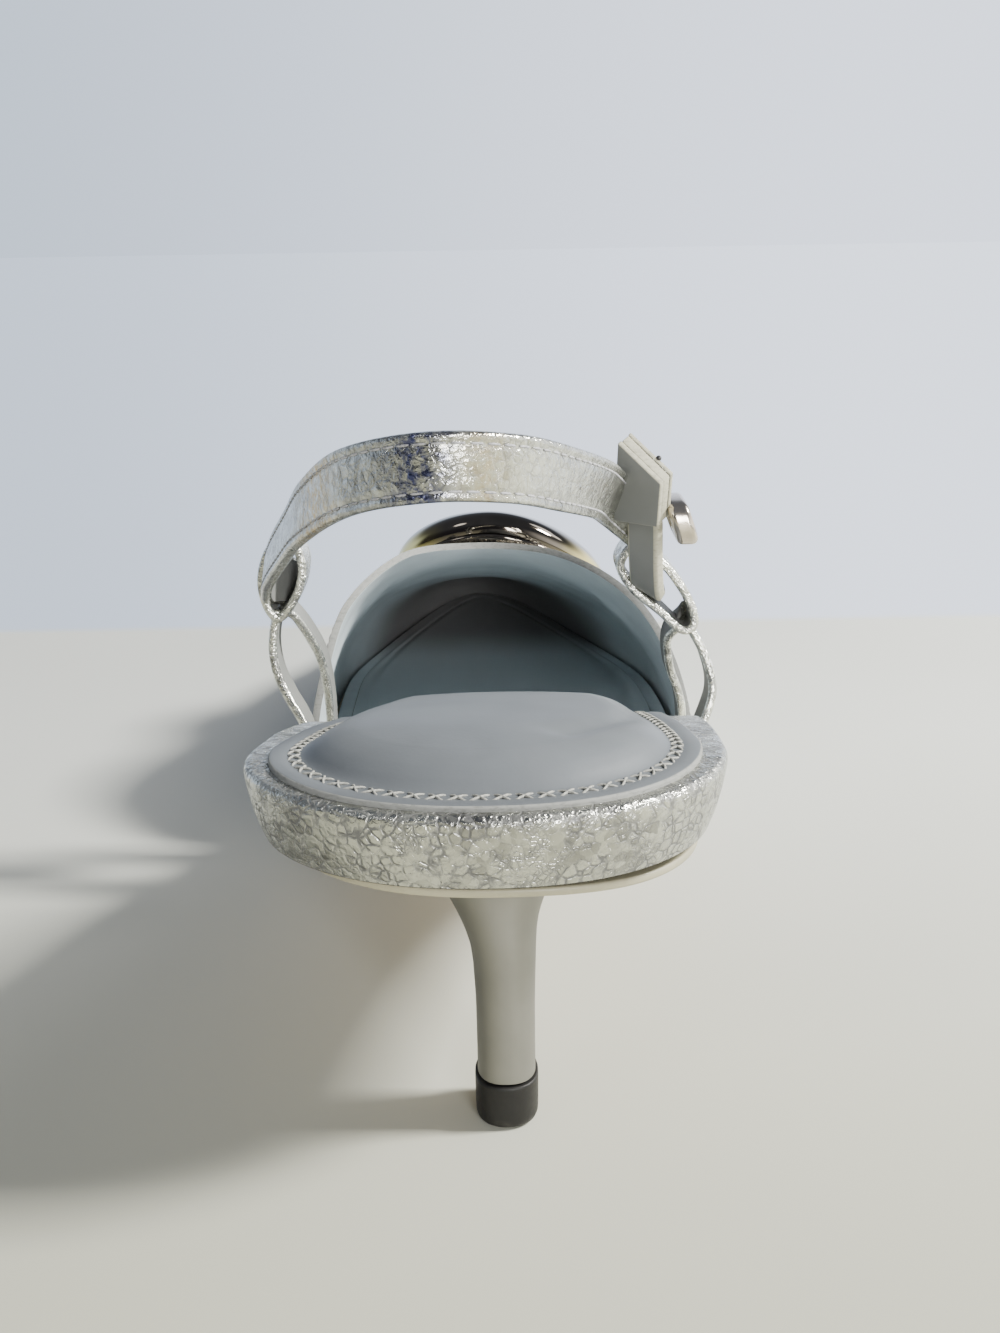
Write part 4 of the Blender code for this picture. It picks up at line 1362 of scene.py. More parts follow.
def floor_finish(name):
    """Plain pale floor, warm under the shoe and darker towards the camera with painted shade; beyond it an
    even cool glow stands for the pale wall.
    """
    shade = colours()
    finish = Finish(name, Roughness=0.55, Specular_IOR_Level=0.2, Emission_Strength=SKY_STRENGTH)
    place = finish.place()
    ahead = finish.part_of(place, "Y")
    far = ahead.soft(*FLOOR_TURN_RANGE)
    # Painted shade: the floor darkens from far to near
    warm = finish.blend(ahead.soft(*FLOOR_PAINTED_FALLOFF_RANGE), shade.floor_near_painted_shade, shade.floor_far)
    cloud = finish.noise(place, FLOOR_CLOUD).soft(*CLOUD_RANGE)
    warm = finish.blend(cloud * FLOOR_STAIN_SHARE, warm, FLOOR_STAIN_COLOUR)
    wall = finish.blend(wall_side(finish, place, WALL_BACK), shade.wall_left, shade.wall_right)
    return finish.feed(
        Base_Color=finish.blend(far, warm, NEAR_BLACK),
        Emission_Color=finish.blend(far, BLACK, wall),
    )


# Pieces


def seat_share(station):
    """1 over the seat and 0 from the arch on."""
    return 1.0 - smooth_step(*SEAT_FADE_RANGE, station)


def make_outsole():
    """The thin sole: a satin champagne edge and a tan tread."""
    slots = [1 if row < TREAD_ROWS else 0 for row in range(len(OUTSOLE_ROWS) - 1)]
    rings = plate_rings(
        "outsole", OUTSOLE_ROWS, lambda s: last("tread", s) + SEAT_RAISE * seat_share(s),
        lambda s: OUTSOLE_THICKNESS - (SEAT_THINNING + SEAT_RAISE) * seat_share(s))
    seat = seat_share(rings[..., 1])
    rings[..., 2] -= SEAT_DROOP * seat * smooth_step(*SEAT_DROOP_RANGE, rings[..., 0])
    rings[..., 0] += SEAT_SIDE_SHIFT * seat
    piece = loft("outsole_leather", rings, row_slots=slots)
    dress(
        piece, "sole_leather", sole_finish("sole edge", colours().sole, EDGE_WEAR),
        sole_finish("tread", colours().tread, TREAD_WEAR), node="outsole")


def make_rand():
    """The covered insole, whose silver wrap shows as a rounded rand round the seat."""
    side = [PlateRow(*row) for row in smooth_path(BOARD_SIDE, False, BOARD_SIDE_STEPS)]
    under = [PlateRow(share, side[0].inset, 0.0) for share in BOARD_UNDER_SHARES]
    over = [PlateRow(share, side[-1].inset, 1.0) for share in BOARD_OVER_SHARES]
    rows = under + side + over
    # The board lining darkens deep in the toe with painted shade
    slots = [1 if row.height < RAND_SEAM_AND_SHADE_HEIGHT else 0 for row in rows[1:]]
    # The lowest band and the underside take the dark seam, partly painted shade of the gap above the
    # outsole
    rings = plate_rings("board", rows, board_under, lambda s: last("board", s))
    piece = loft("rand_cover", rings, row_slots=slots)
    lined_from = world((0.0, BOARD_LINED_FROM, 0.0))[1]
    for polygon in piece.data.polygons:
        if polygon.normal.z > BOARD_FLAT and polygon.center.y > lined_from:
            polygon.material_index = 2
    dress(
        piece, "silver_leather", foil_finish("rand foil"),
        Finish("glued seam", Roughness=0.6, Base_Color=SEAM_AND_GAP_SHADE_COLOUR).material,
        lining_finish("board lining", colours().lining_grey, toe_painted_shade=TOE_PAINTED_SHADE), node="covered_insole")


def sock_inset(inset):
    """An inset that narrows towards the toe, where the sock has no room for it."""
    def at(station):
        return inset * (1.0 - (1.0 - TOE_INSET_SHARE) * smooth_step(*TOE_INSET_RANGE, station))
    return at


def sock_relief(x, s):
    """Soft troughs along the sock's creases."""
    here = np.stack([x, s], axis=-1)
    relief = np.zeros(np.shape(x))
    for row in SOCK_CREASES:
        line = smooth_path(row.points, False, SOCK_CREASE_STEPS)
        away = np.linalg.norm(here[..., None, :] - line, axis=-1).min(axis=-1)
        relief -= row.depth * np.exp(-((away / row.width) ** 2))
    return relief


def sock_ring(inset, height, share=1.0):
    """A ring of the sock at an inset, with heights from a function of its stations."""
    x, s = plate_ring("sock", sock_inset(inset), share)
    return np.stack([x, s, height(s)], axis=1)


def make_sock():
    """The grey sock, with a pale raw edge, a stitched channel and a soft pad at the heel."""
    rings = [sock_ring(SOCK_UNDER_INSET, board_top, share) for share in SOCK_UNDER_SHARES]
    rings += [sock_ring(0.0, lambda s: board_top(s) + height) for height in SOCK_EDGE_HEIGHTS]
    pale = len(rings) - 1 + int(np.sum(SOCK_INSETS < SOCK_PALE_INSET))
    rings += [sock_ring(inset, lambda s: sock_top(inset, s)) for inset in SOCK_INSETS]
    partner = -np.arange(len(rings[-1])) % len(rings[-1])
    half = np.hypot(*(rings[-1] - rings[-1][partner])[:, :2].T) / 2.0
    for share in SOCK_MIDDLE_SHARES:
        middle = sock_ring(SOCK_INSETS[-1], lambda s: sock_top(SOCK_INSETS[-1], s), share)
        crown = SOCK_CROWN * (1.0 - share**2) * (half / SOCK_CROWN_REACH) ** 2
        middle[:, 2] += crown * pad_share(middle[:, 1])
        rings.append(middle)
    rings = np.array(rings)
    rings[pale + 1:, :, 2] += sock_relief(rings[pale + 1:, :, 0], rings[pale + 1:, :, 1])
    slots = [1 if row <= pale else 0 for row in range(len(rings) - 1)]
    piece = loft("sock_leather", rings, row_slots=slots)
    shade = colours()
    # The sock's colour darkens deep in the toe with painted shade
    leather = lining_finish(
        "sock leather", shade.sock_grey, SOCK_GLOSS, SOCK_TOE_PAINTED_SHADE, toned(shade.lining_grey, FORE_SHARE))
    dress(
        piece, "grey_lining", leather, grained_finish("sock edge", shade.sock_edge, RAW_EDGE),
        node="insole_sock")
    make_chain_stitch()


def make_chain_stitch():
    """Two threads that cross over one another along the sock's channel, diving in where they turn."""
    half = sizes().chain_width / 2.0
    lines = []
    for inset in (CHAIN_INSET - half, CHAIN_INSET + half):
        steps = CHAIN_FINENESS * PLATE_STEPS
        x, s = plate_ring("sock", sock_inset(inset), steps=steps)
        order = np.concatenate([np.arange(steps, -1, -1), np.arange(2 * steps - 1, steps, -1)])
        order = order[s[order] < CHAIN_END_STATION]
        lines.append(np.stack([x[order], s[order]], axis=1))
    count = min(len(line) for line in lines)
    outer, inner = (at_index(line, np.linspace(0.0, len(line) - 1, count)) for line in lines)
    index = even_places((outer + inner) / 2.0, sizes().chain_link / CHAIN_SAMPLES)
    outer, inner = at_index(outer, index), at_index(inner, index)
    radius = sizes().thread / 2.0
    turn = np.linspace(0.0, 2.0 * math.pi, CHAIN_POINTS, endpoint=False)
    section = (radius * np.cos(turn), radius * np.sin(turn))
    finish = grained_finish("sock thread", colours().thread, THREAD)
    for number, phase in enumerate((0.0, math.pi)):
        swing = np.sin(math.pi * np.arange(len(index)) / CHAIN_SAMPLES + phase)
        plan = outer + (inner - outer) * (1.0 + swing)[:, None] / 2.0
        lift = radius * (CHAIN_LIFT - CHAIN_DIVE_DEPTH * np.abs(swing) ** CHAIN_DIVE_POWER)
        height = sock_top(CHAIN_INSET + half * swing, plan[:, 1]) + lift
        rows = np.column_stack([plan, height, np.zeros(len(plan))])
        piece = loft(f"sock_thread_{number + 1}", band_rows(rows, section, (0.0, 0.0, 1.0), between=1))
        dress(piece, "grey_lining", finish)


def throat_station(across):
    rise = np.maximum(np.cos(across * math.pi / 2.0), 0.0) ** THROAT_POWER
    return THROAT_SIDE + (THROAT_CROWN - THROAT_SIDE) * rise


def crown_height(station, skin):
    """Height of the vamp's crown over the board's underside, with a skin added round the last."""
    return (last("crown", station) + skin) * round_end(
        LENGTH + skin - station, TOE_BOX_REACH, TOE_BOX_POWER)


def wall_point(station, across, skin):
    """A point of the vamp's wall: across runs from the medial edge (-1) over the crown to 1."""
    reach = np.abs(across)
    turn = reach * math.pi / 2.0
    spine = last("spine", station)
    side = np.where(across > 0, edge(1, station, skin), edge(-1, station, skin))
    medial, lateral, medial_flare, lateral_flare = (
        column(ARCH, name, station) for name in ("medial", "lateral", "medial_flare", "lateral_flare"))
    power = 2.0 / np.where(across > 0, lateral, medial)
    standing_out = smooth_step(FLARE_START, FLARE_FULL, reach) * smooth_step(1.0, FLARE_END, reach)
    flare = np.where(across > 0, lateral_flare, -medial_flare) * standing_out
    x = spine + (side - spine) * np.sin(turn) ** power + flare
    z = board_under(station) + crown_height(station, skin) * np.maximum(np.cos(turn), 0.0) ** power
    return np.stack([x, station, z], axis=-1)


def crease_relief(station, across):
    """Soft troughs with a low ridge on each side, along the creases' lines."""
    relief = np.zeros(np.shape(station))
    here = np.stack([station, across * CREASE_ACROSS_MM], axis=-1)
    for row in CREASES:
        start = np.array([row.start_station, row.start_across * CREASE_ACROSS_MM])
        run = np.array([row.end_station, row.end_across * CREASE_ACROSS_MM]) - start
        share = np.clip((here - start) @ run / (run @ run), 0.0, 1.0)
        away = np.linalg.norm(here - start - share[..., None] * run, axis=-1) / row.width
        ridge = np.exp(-((CREASE_RIDGE_NARROWING * (away - CREASE_RIDGE_AWAY)) ** 2))
        relief -= row.depth * np.exp(-(away**2))
        relief += row.depth * CREASE_RIDGE * ridge
    return relief


def make_vamp():
    """The vamp's leather, one wall from throat to toe, with soft flex creases and a sewn topline."""
    across = np.broadcast_to(np.linspace(-1.0, 1.0, VAMP_AROUND + 1), (VAMP_ALONG + 1, VAMP_AROUND + 1))
    share = np.sin(np.linspace(0.0, math.pi / 2.0, VAMP_ALONG + 1))[:, None]
    start = throat_station(across)
    station = start + (LENGTH + UPPER_WALL - start) * share
    points = wall_point(station, across, UPPER_WALL)
    normal = np.cross(np.gradient(points, axis=1), np.gradient(points, axis=0))
    normal /= np.maximum(np.linalg.norm(normal, axis=2), SHORTEST_NORMAL)[..., None]
    steps = np.linalg.norm(np.diff(points, axis=0), axis=2)
    from_throat = np.concatenate([np.zeros((1, VAMP_AROUND + 1)), np.cumsum(steps, axis=0)])
    relief = crease_relief(station, across)
    relief -= TOPLINE_TROUGH * np.exp(-(((from_throat - TOPLINE_SEAM) / TOPLINE_WIDTH) ** 2))
    relief *= 1.0 - smooth_step(RELIEF_FADE_START, 1.0, np.abs(across))
    points = points + normal * relief[..., None]
    piece = loft("vamp_leather", points, closed=False)
    # The vamp lining darkens deep in the toe with painted shade
    add_finishes(piece, (
        foil_finish("vamp foil"),
        lining_finish("vamp lining", colours().lining_grey, toe_painted_shade=TOE_PAINTED_SHADE),
        grained_finish("folded topline", colours().sock_edge, RAW_EDGE),
    ))
    apply_modifier(
        piece, "SOLIDIFY", thickness=VAMP_THICKNESS * MM, offset=-1.0, use_rim=True,
        material_offset=1, material_offset_rim=2)
    apply_modifier(
        piece, "BEVEL", width=RIM_ROUNDING * MM, segments=BEVEL_SEGMENTS, limit_method="ANGLE")
    dress(piece, "silver_leather", node="vamp")
    make_topline_stitches(points, normal, from_throat)


def make_topline_stitches(points, normal, from_throat):
    """Stitches in the trough along the vamp's topline."""
    row = np.argmax(from_throat >= TOPLINE_SEAM, axis=0)
    seam = points[row, np.arange(len(row))]
    index = even_places(seam, sizes().stitch * TOPLINE_SPACING)
    out = at_index(normal[row, np.arange(len(row))], index)
    places = at_index(seam, index) + out * sizes().thread * TOPLINE_LIFT
    stitch_row(
        "topline_stitches", places, at_index(np.gradient(seam, axis=0), index), out,
        grained_finish("silver thread", TOPLINE_THREAD_COLOUR, THREAD))


def squared(turn, power):
    """Cosine and sine of a turn, squared off by a power below 1."""
    return tuple(np.sign(part) * np.abs(part) ** power for part in (np.cos(turn), np.sin(turn)))


def heel_ring(rows, height):
    """A rounded section at a height: x and station of its points."""
    turn = np.linspace(0.0, 2.0 * math.pi, HEEL_POINTS, endpoint=False)
    x, half, back, front = (
        column(rows, name, height, key="height") for name in ("x", "half_width", "back", "front"))
    across, along = squared(turn, 2.0 / HEEL_SECTION_POWER)
    return x + across * half, along * (front - back) / 2.0 + (front + back) / 2.0


def capped(rings):
    """Rings with a point at the middle of the first and the last, to close their ends."""
    rings = np.asarray(rings)
    low, high = (np.repeat(rings[end].mean(axis=0)[None], rings.shape[1], axis=0) for end in (0, -1))
    return np.concatenate([[low], rings, [high]])


def make_heel():
    """The slim heel that flares into the sole, and the black top piece that it walks on."""
    foot = TOP_PIECE_HEIGHT + FIT_GAP
    rings = []
    for height in np.linspace(0.0, 1.0, HEEL_STEPS):
        x, s = heel_ring(HEEL, height)
        rings.append(np.stack([x, s, foot + height * (last("tread", s) + HEEL_RAISE - foot)], axis=1))
    dress(
        loft("heel_metal", capped(rings)), "satin_metal",
        metal_finish("heel metal", colours().heel_metal, *HEEL_SATIN), node="heel")
    rings = []
    for height in (1.0 - np.cos(np.linspace(0.0, math.pi, TOP_PIECE_STEPS))) / 2.0:
        x, s = heel_ring(TOP_PIECE, height)
        rings.append(np.stack([x, s, np.full(len(x), height * TOP_PIECE_HEIGHT)], axis=1))
    dress(
        loft("heel_top_rubber", capped(rings)), "black_rubber", rubber_finish("top piece rubber"),
        node="top_piece")


def strap(name, rows, width, thickness, upright, faces=LATERAL_FACES, closed=False, troughs=(),
          between=BAND_STEPS):
    """A leather strap along a table's rows; faces gives the slots of its face, back and edges."""
    section = strap_section(width, thickness, STRAP_ROUNDING, troughs, TROUGH_DEPTH)
    slots = [faces[side] for side in section[2]]
    return loft(name, band_rows(rows, section, upright, closed, between), point_slots=slots)


def make_loop(name, node, eye, legs, leg_faces):
    """A forked loop: an eye for the strap on two legs that go down into the sole."""
    size = sizes()
    upright = (0.0, 1.0, 0.0)
    finishes = (
        foil_finish(f"{name} foil", **LOOP_FOIL),
        lining_finish(f"{name} lining", colours().strap_grey),
        foil_finish(f"{name} edge", **LOOP_FOIL),
    )
    piece = strap(name, eye, size.eye_width, size.quarter_thickness, upright, closed=True)
    add_finishes(piece, finishes)
    for leg in legs:
        other = strap("leg", leg, size.leg_width, size.quarter_thickness, upright, leg_faces)
        add_finishes(other, finishes)
        apply_modifier(piece, "BOOLEAN", operation="UNION", solver="MANIFOLD", object=other)
        bpy.data.objects.remove(other)
    dress(piece, "silver_leather", node=node)


def make_loops():
    """The forked side loops."""
    make_loop(
        "medial_loop_leather", "medial_quarter_loop", MEDIAL_EYE, (MEDIAL_BACK_LEG, MEDIAL_FRONT_LEG),
        MEDIAL_FACES)
    make_loop(
        "lateral_loop_leather", "lateral_quarter_loop", LATERAL_EYE, (LATERAL_BACK_LEG, LATERAL_FRONT_LEG),
        LATERAL_FACES)


def make_sling():
    """The heel strap, sewn along both edges."""
    size = sizes()
    upright = (0.0, 0.0, 1.0)
    piece = strap(
        "sling_leather", SLING, size.sling_width, size.sling_thickness, upright, SLING_FACES,
        troughs=(SLING_SEAM,), between=SLING_STEPS)
    dress(
        piece, "silver_leather", foil_finish("sling foil", **SLING_FOIL),
        lining_finish("sling lining", colours().strap_grey), node="sling_strap")
    path, along, across, face = band_frame(SLING, upright, False, SLING_STEPS)
    thread = grained_finish("sling thread", SLING_THREAD_COLOUR, THREAD)
    for name, side in (("upper", 1.0), ("lower", -1.0)):
        seam = path + across * side * SLING_SEAM + face * (size.sling_thickness / 2.0 - SLING_SINK)
        index = even_places(seam, size.stitch * SLING_SPACING)
        stitch_row(
            f"sling_stitches_{name}", at_index(seam, index), at_index(along, index),
            at_index(face, index), thread)


def stack_frame():
    """The free end's directions: across its face, along it, and out of its back."""
    tilt, turn = math.radians(STACK_TILT), math.radians(STACK_TURN)
    across = np.array([math.cos(turn), -math.sin(turn), 0.0])
    along = np.array([0.0, -math.sin(tilt), math.cos(tilt)])
    return across, along, unit(np.cross(along, across))


def stack_point(across, along, out):
    """A point of the free end, from its own directions across, along and out of its back."""
    middle = np.array(STACK_MIDDLE[:3])
    ways = stack_frame()
    return middle + ways[0] * across + ways[1] * along + ways[2] * out


def make_stack():
    """The strap's free end: lining, core and foil in one stack with a slanting top, and a pin's tip."""
    shade = colours()
    half = STACK_WIDTH / 2.0
    outward = stack_frame()[2]
    edge_finish = grained_finish("stack edge", shade.raw_edge, RAW_EDGE)
    faces = {
        "stack_lining": lining_finish("stack lining face", shade.strap_grey),
        "stack_core": edge_finish,
        "stack_foil": foil_finish("stack foil face"),
    }
    for row in STACK_LAYERS:
        piece = primitive(row.name, bpy.ops.mesh.primitive_cube_add, size=2.0)
        for vertex in piece.data.vertices:
            side, face, top = np.sign(vertex.co)
            length = STACK_INNER_LENGTH if side < 0 else STACK_OUTER_LENGTH
            along = length + row.grow if top > 0 else -row.grow
            out = (row.far if face > 0 else row.near) * STACK_THICKNESS
            vertex.co = world(stack_point(side * (half + row.grow), along, out))
        close_mesh()
        apply_modifier(
            piece, "BEVEL", width=STACK_ROUNDING * MM, segments=BEVEL_SEGMENTS, limit_method="ANGLE")
        for polygon in piece.data.polygons:
            facing = abs(float(np.dot(polygon.normal, outward))) > STACK_FACING
            polygon.material_index = 0 if facing else 1
        dress(piece, "grey_lining", faces[row.name], edge_finish)
    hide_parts("strap_end")
    make_stack_pin()


def make_stack_pin():
    """The dark tip of a pin, just above the far edge of the free end's top."""
    half = STACK_WIDTH / 2.0
    inner = stack_point(-half, STACK_INNER_LENGTH, STACK_THICKNESS / 2.0)
    outer = stack_point(half, STACK_OUTER_LENGTH, STACK_THICKNESS / 2.0)
    place = Vector(world(inner + (outer - inner) * PIN_SHARE))
    piece = primitive(
        "stack_pin", bpy.ops.mesh.primitive_uv_sphere_add, segments=PIN_SEGMENTS, ring_count=PIN_RINGS,
        radius=PIN_RADIUS * MM)
    for vertex in piece.data.vertices:
        vertex.co = vertex.co + place
    dress(piece, "satin_metal", Finish("pin dark", Roughness=0.5, Base_Color=PIN_COLOUR).material)


def make_buckle_strap():
    """The buckle's own strap, grey face to the back with pale cut edges."""
    size, shade = sizes(), colours()
    piece = strap(
        "buckle_strap_leather", BUCKLE_STRAP, size.buckle_strap_width, size.buckle_strap_thickness,
        BUCKLE_STRAP_SLANT, between=BUCKLE_STRAP_STEPS)
    dress(
        piece, "grey_lining", lining_finish("buckle strap face", shade.strap_grey),
        foil_finish("buckle strap foil"), grained_finish("buckle strap edge", shade.raw_edge, RAW_EDGE),
        node="buckle_strap")


def make_buckle():
    """The small rounded buckle and its prong."""
    half_length, half_height = BUCKLE_LENGTH / 2.0, BUCKLE_HEIGHT / 2.0
    centre = BUCKLE_CENTRE
    rows = []
    for step in range(BUCKLE_STEPS):
        along, up = squared(2.0 * math.pi * step / BUCKLE_STEPS, BUCKLE_SQUARENESS)
        up = up * half_height
        rows.append(BandRow(
            centre.x - BUCKLE_LEAN * up, centre.station + along * half_length, centre.height + up))
    outwards = (1.0, 0.0, 0.0)
    section = strap_section(BUCKLE_BAR_WIDTH, BUCKLE_BAR_THICKNESS, BUCKLE_ROUNDING)
    metal = metal_finish("buckle metal", colours().buckle_metal, *BUCKLE_POLISH)
    piece = loft("buckle_frame_metal", band_rows(rows, section, outwards, closed=True))
    dress(piece, "satin_metal", metal, node="buckle_frame", angle=SHARP_ANGLE)
    reach = half_length - BUCKLE_BAR_THICKNESS / 2.0 - FIT_GAP
    rows = [BandRow(centre.x, centre.station + way * reach, centre.height) for way in (-1.0, 1.0)]
    section = strap_section(PRONG_DIAMETER, PRONG_DIAMETER, PRONG_ROUNDING)
    piece = loft("buckle_prong_metal", band_rows(rows, section, outwards))
    dress(piece, "satin_metal", metal, node="buckle_prong", angle=SHARP_ANGLE)


def vamp_height(x, station):
    """Height of the vamp's outer face over a point of the plan."""
    spine = last("spine", station)
    side = np.where(x > spine, edge(1, station, UPPER_WALL), edge(-1, station, UPPER_WALL))
    share = np.clip(np.abs((x - spine) / (side - spine)), 0.0, 1.0)
    power = np.where(x > spine, column(ARCH, "lateral", station), column(ARCH, "medial", station))
    return board_under(station) + crown_height(station, UPPER_WALL) * (1.0 - share**power) ** (1.0 / power)


def ornament_ring(share, rise):
    """An oval ring over the vamp, at a share of the ornament's size and a rise above the leather."""
    turn = np.linspace(0.0, 2.0 * math.pi, ORNAMENT_POINTS, endpoint=False)
    x = ORNAMENT_X + share * ORNAMENT_HALF_WIDTH * np.cos(turn)
    s = ORNAMENT_STATION + share * ORNAMENT_HALF_LENGTH * np.sin(turn)
    return np.stack([x, s, vamp_height(x, s) + rise], axis=1)


def make_ornament():
    """The domed oval on the vamp and the rounded rim that holds it."""
    rings = [ornament_ring(share * DOME_SHARE, ORNAMENT_GAP) for share in DOME_UNDER_SHARES]
    for turn in np.linspace(0.0, math.pi / 2.0, DOME_STEPS):
        share, bulge = math.cos(turn) ** (2.0 / DOME_POWER), math.sin(turn) ** (2.0 / DOME_POWER)
        rise = ORNAMENT_EDGE + (ORNAMENT_DOME - ORNAMENT_EDGE) * bulge
        rings.append(ornament_ring(share * DOME_SHARE, ORNAMENT_GAP + rise))
    dress(
        loft("ornament_dome", rings), "polished_metal", dome_finish("dark polished metal"),
        node="vamp_ornament", angle=SHARP_ANGLE)
    middle, half = (1.0 + RIM_SHARE) / 2.0, (1.0 - RIM_SHARE) / 2.0
    rings = []
    for turn in np.linspace(0.0, 2.0 * math.pi, RIM_STEPS + 1):
        rise = ORNAMENT_GAP + RIM_HEIGHT * (1.0 + math.sin(turn)) / 2.0
        rings.append(ornament_ring(middle + half * math.cos(turn), rise))
    dress(
        loft("ornament_bezel", rings), "gilt_rim", dome_finish("gilt rim"), node="ornament_rim",
        angle=SHARP_ANGLE)


# Stage


def make_sky():
    """The room round the shoe: pale wall ahead, window at the right, ceiling above, dim behind."""
    shade = colours()
    sky = bpy.data.worlds.new("studio")
    sky.use_nodes = True
    bpy.context.scene.world = sky
    room = Tree(sky.node_tree)
    way = room.node("ShaderNodeTexCoord", output="Generated")
    ahead = room.part_of(way, "Y").soft(*AHEAD_RANGE)
    right = room.part_of(way, "X").soft(*RIGHT_RANGE)
    above = room.part_of(way, "Z").soft(*ABOVE_RANGE)
    wall = room.blend(wall_side(room, way, 0.0), shade.wall_left, shade.wall_right)
    level = room.blend(right, room.blend(ahead, shade.room, wall), toned(shade.window, WINDOW_GAIN))
    light = room.blend(above, level, shade.ceiling)
    for row in PANES:
        towards = tuple(Vector(row.way).normalized())
        near = room.vectors("DOT_PRODUCT", way, towards, output="Value")
        edge_cosine = math.cos(math.radians(row.half_angle))
        light = room.blend(near.soft(edge_cosine, edge_cosine + PANE_EDGE), light, (row.glow,) * 3)
    background = sky.node_tree.nodes["Background"]
    sky.node_tree.links.new(light.socket, background.inputs["Color"])
    background.inputs["Strength"].default_value = SKY_STRENGTH


def make_stage():
    """Floor, soft lights, sky and the camera."""
    floor = primitive("studio_floor", bpy.ops.mesh.primitive_plane_add, size=FLOOR_SIZE)
    for vertex in floor.data.vertices:
        vertex.co.z = FLOOR_HEIGHT
    floor.data.materials.append(floor_finish("pale floor"))
    for row in LIGHTS:
        turn = Vector(row.place).to_track_quat("Z", "Y").to_euler()
        bpy.ops.object.light_add(type="AREA", location=row.place, rotation=turn)
        light = bpy.context.object
        light.name = f"{row.name}_light"
        light.data.size = row.size
        light.data.energy = row.power
        light.data.color = row.colour
    make_sky()
    place = world((CAMERA_X, CAMERA_STATION, CAMERA_HEIGHT))
    tilt = Euler((math.radians(90.0 - CAMERA_PITCH), 0.0, 0.0)).to_matrix()
    roll = Euler((0.0, 0.0, math.radians(-CAMERA_ROLL))).to_matrix()
    bpy.ops.object.camera_add(location=tuple(place), rotation=(tilt @ roll).to_euler())
    camera = bpy.context.object
    camera.data.sensor_width = SENSOR_MM
    camera.data.lens = CAMERA_FOCAL_PIXELS / IMAGE_LONG_SIDE_PIXELS * SENSOR_MM
    camera.data.clip_start = CLIP_START
    bpy.context.scene.camera = camera


# Operators and panel


class PieceOperator:
    """What the operators share: each runs its builder once."""

    bl_options = {"REGISTER", "UNDO"}

    def execute(self, context):
        type(self).build()
        return {"FINISHED"}


class PUMP_OT_outsole(PieceOperator, bpy.types.Operator):
    """Add the outsole"""

    bl_idname = "pump.outsole"
    bl_label = "Outsole"
    build = staticmethod(make_outsole)


class PUMP_OT_rand(PieceOperator, bpy.types.Operator):
    """Add the covered insole with its rand"""

    bl_idname = "pump.rand"
    bl_label = "Covered insole"
    build = staticmethod(make_rand)


class PUMP_OT_sock(PieceOperator, bpy.types.Operator):
    """Add the sock and its chain stitch"""

    bl_idname = "pump.sock"
    bl_label = "Sock"
    build = staticmethod(make_sock)


class PUMP_OT_vamp(PieceOperator, bpy.types.Operator):
    """Add the vamp and its topline stitches"""

    bl_idname = "pump.vamp"
    bl_label = "Vamp"
    build = staticmethod(make_vamp)


class PUMP_OT_heel(PieceOperator, bpy.types.Operator):
    """Add the heel and its top piece"""

    bl_idname = "pump.heel"
    bl_label = "Heel"
    build = staticmethod(make_heel)


class PUMP_OT_loops(PieceOperator, bpy.types.Operator):
    """Add the two forked side loops"""

    bl_idname = "pump.loops"
    bl_label = "Side loops"
    build = staticmethod(make_loops)


class PUMP_OT_sling(PieceOperator, bpy.types.Operator):
    """Add the heel strap with its stitches"""

    bl_idname = "pump.sling"
    bl_label = "Heel strap"
    build = staticmethod(make_sling)


class PUMP_OT_stack(PieceOperator, bpy.types.Operator):
    """Add the strap's layered free end"""

    bl_idname = "pump.stack"
    bl_label = "Strap end"
    build = staticmethod(make_stack)


class PUMP_OT_buckle_strap(PieceOperator, bpy.types.Operator):
    """Add the buckle's own strap"""

    bl_idname = "pump.buckle_strap"
    bl_label = "Buckle strap"
    build = staticmethod(make_buckle_strap)


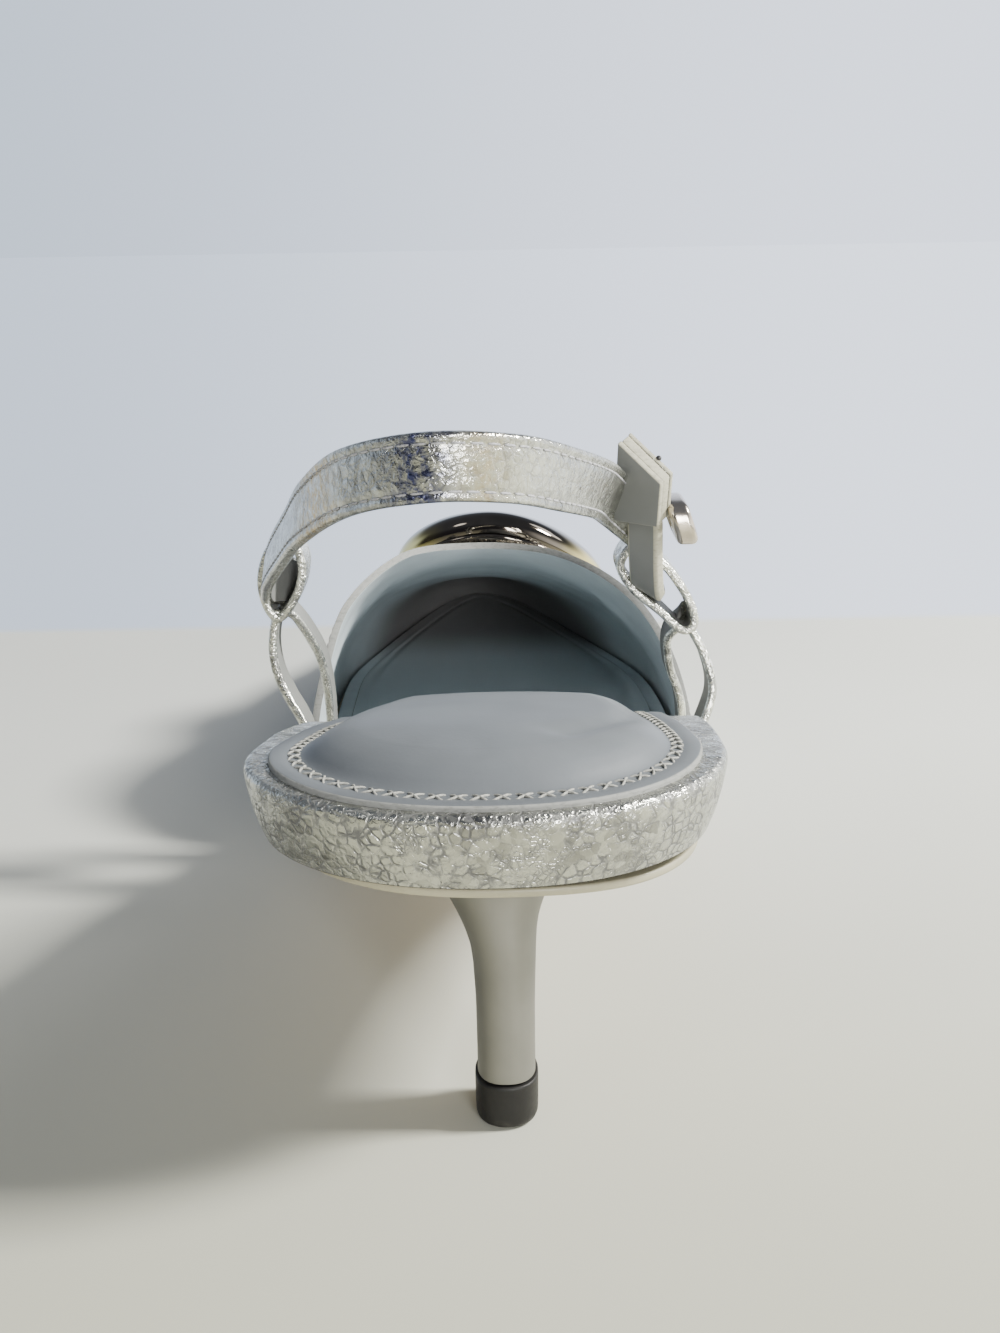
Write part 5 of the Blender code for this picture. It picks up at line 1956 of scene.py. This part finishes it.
class PUMP_OT_buckle(PieceOperator, bpy.types.Operator):
    """Add the buckle and its prong"""

    bl_idname = "pump.buckle"
    bl_label = "Buckle"
    build = staticmethod(make_buckle)


class PUMP_OT_ornament(PieceOperator, bpy.types.Operator):
    """Add the vamp's domed ornament and its rim"""

    bl_idname = "pump.ornament"
    bl_label = "Ornament"
    build = staticmethod(make_ornament)


class PUMP_OT_stage(PieceOperator, bpy.types.Operator):
    """Add the floor, the lights and the camera"""

    bl_idname = "pump.stage"
    bl_label = "Stage"
    build = staticmethod(make_stage)


OPERATORS = (
    PUMP_OT_outsole, PUMP_OT_rand, PUMP_OT_sock, PUMP_OT_vamp, PUMP_OT_heel, PUMP_OT_loops, PUMP_OT_sling,
    PUMP_OT_stack, PUMP_OT_buckle_strap, PUMP_OT_buckle, PUMP_OT_ornament, PUMP_OT_stage,
)


class PUMP_PT_sidebar(bpy.types.Panel):
    """The pump's operators, sizes and colours"""

    bl_idname = "PUMP_PT_sidebar"
    bl_label = "Slingback pump"
    bl_space_type = "VIEW_3D"
    bl_region_type = "UI"
    bl_category = "Pump"

    def draw(self, context):
        for operator in OPERATORS:
            self.layout.operator(operator.bl_idname)
        for group in (context.scene.pump_sizes, context.scene.pump_colours):
            for name in group.__annotations__:
                self.layout.prop(group, name)


CLASSES = (PumpSizes, PumpColours, *OPERATORS, PUMP_PT_sidebar)


def register():
    for each in CLASSES:
        bpy.utils.register_class(each)
    bpy.types.Scene.pump_sizes = PointerProperty(type=PumpSizes)
    bpy.types.Scene.pump_colours = PointerProperty(type=PumpColours)


def unregister():
    del bpy.types.Scene.pump_colours
    del bpy.types.Scene.pump_sizes
    for each in reversed(CLASSES):
        bpy.utils.unregister_class(each)


def main():
    register()
    bpy.ops.pump.outsole()
    bpy.ops.pump.rand()
    bpy.ops.pump.sock()
    bpy.ops.pump.vamp()
    bpy.ops.pump.heel()
    bpy.ops.pump.loops()
    bpy.ops.pump.sling()
    bpy.ops.pump.stack()
    bpy.ops.pump.buckle_strap()
    bpy.ops.pump.buckle()
    bpy.ops.pump.ornament()
    bpy.ops.pump.stage()


if __name__ == "__main__":
    main()
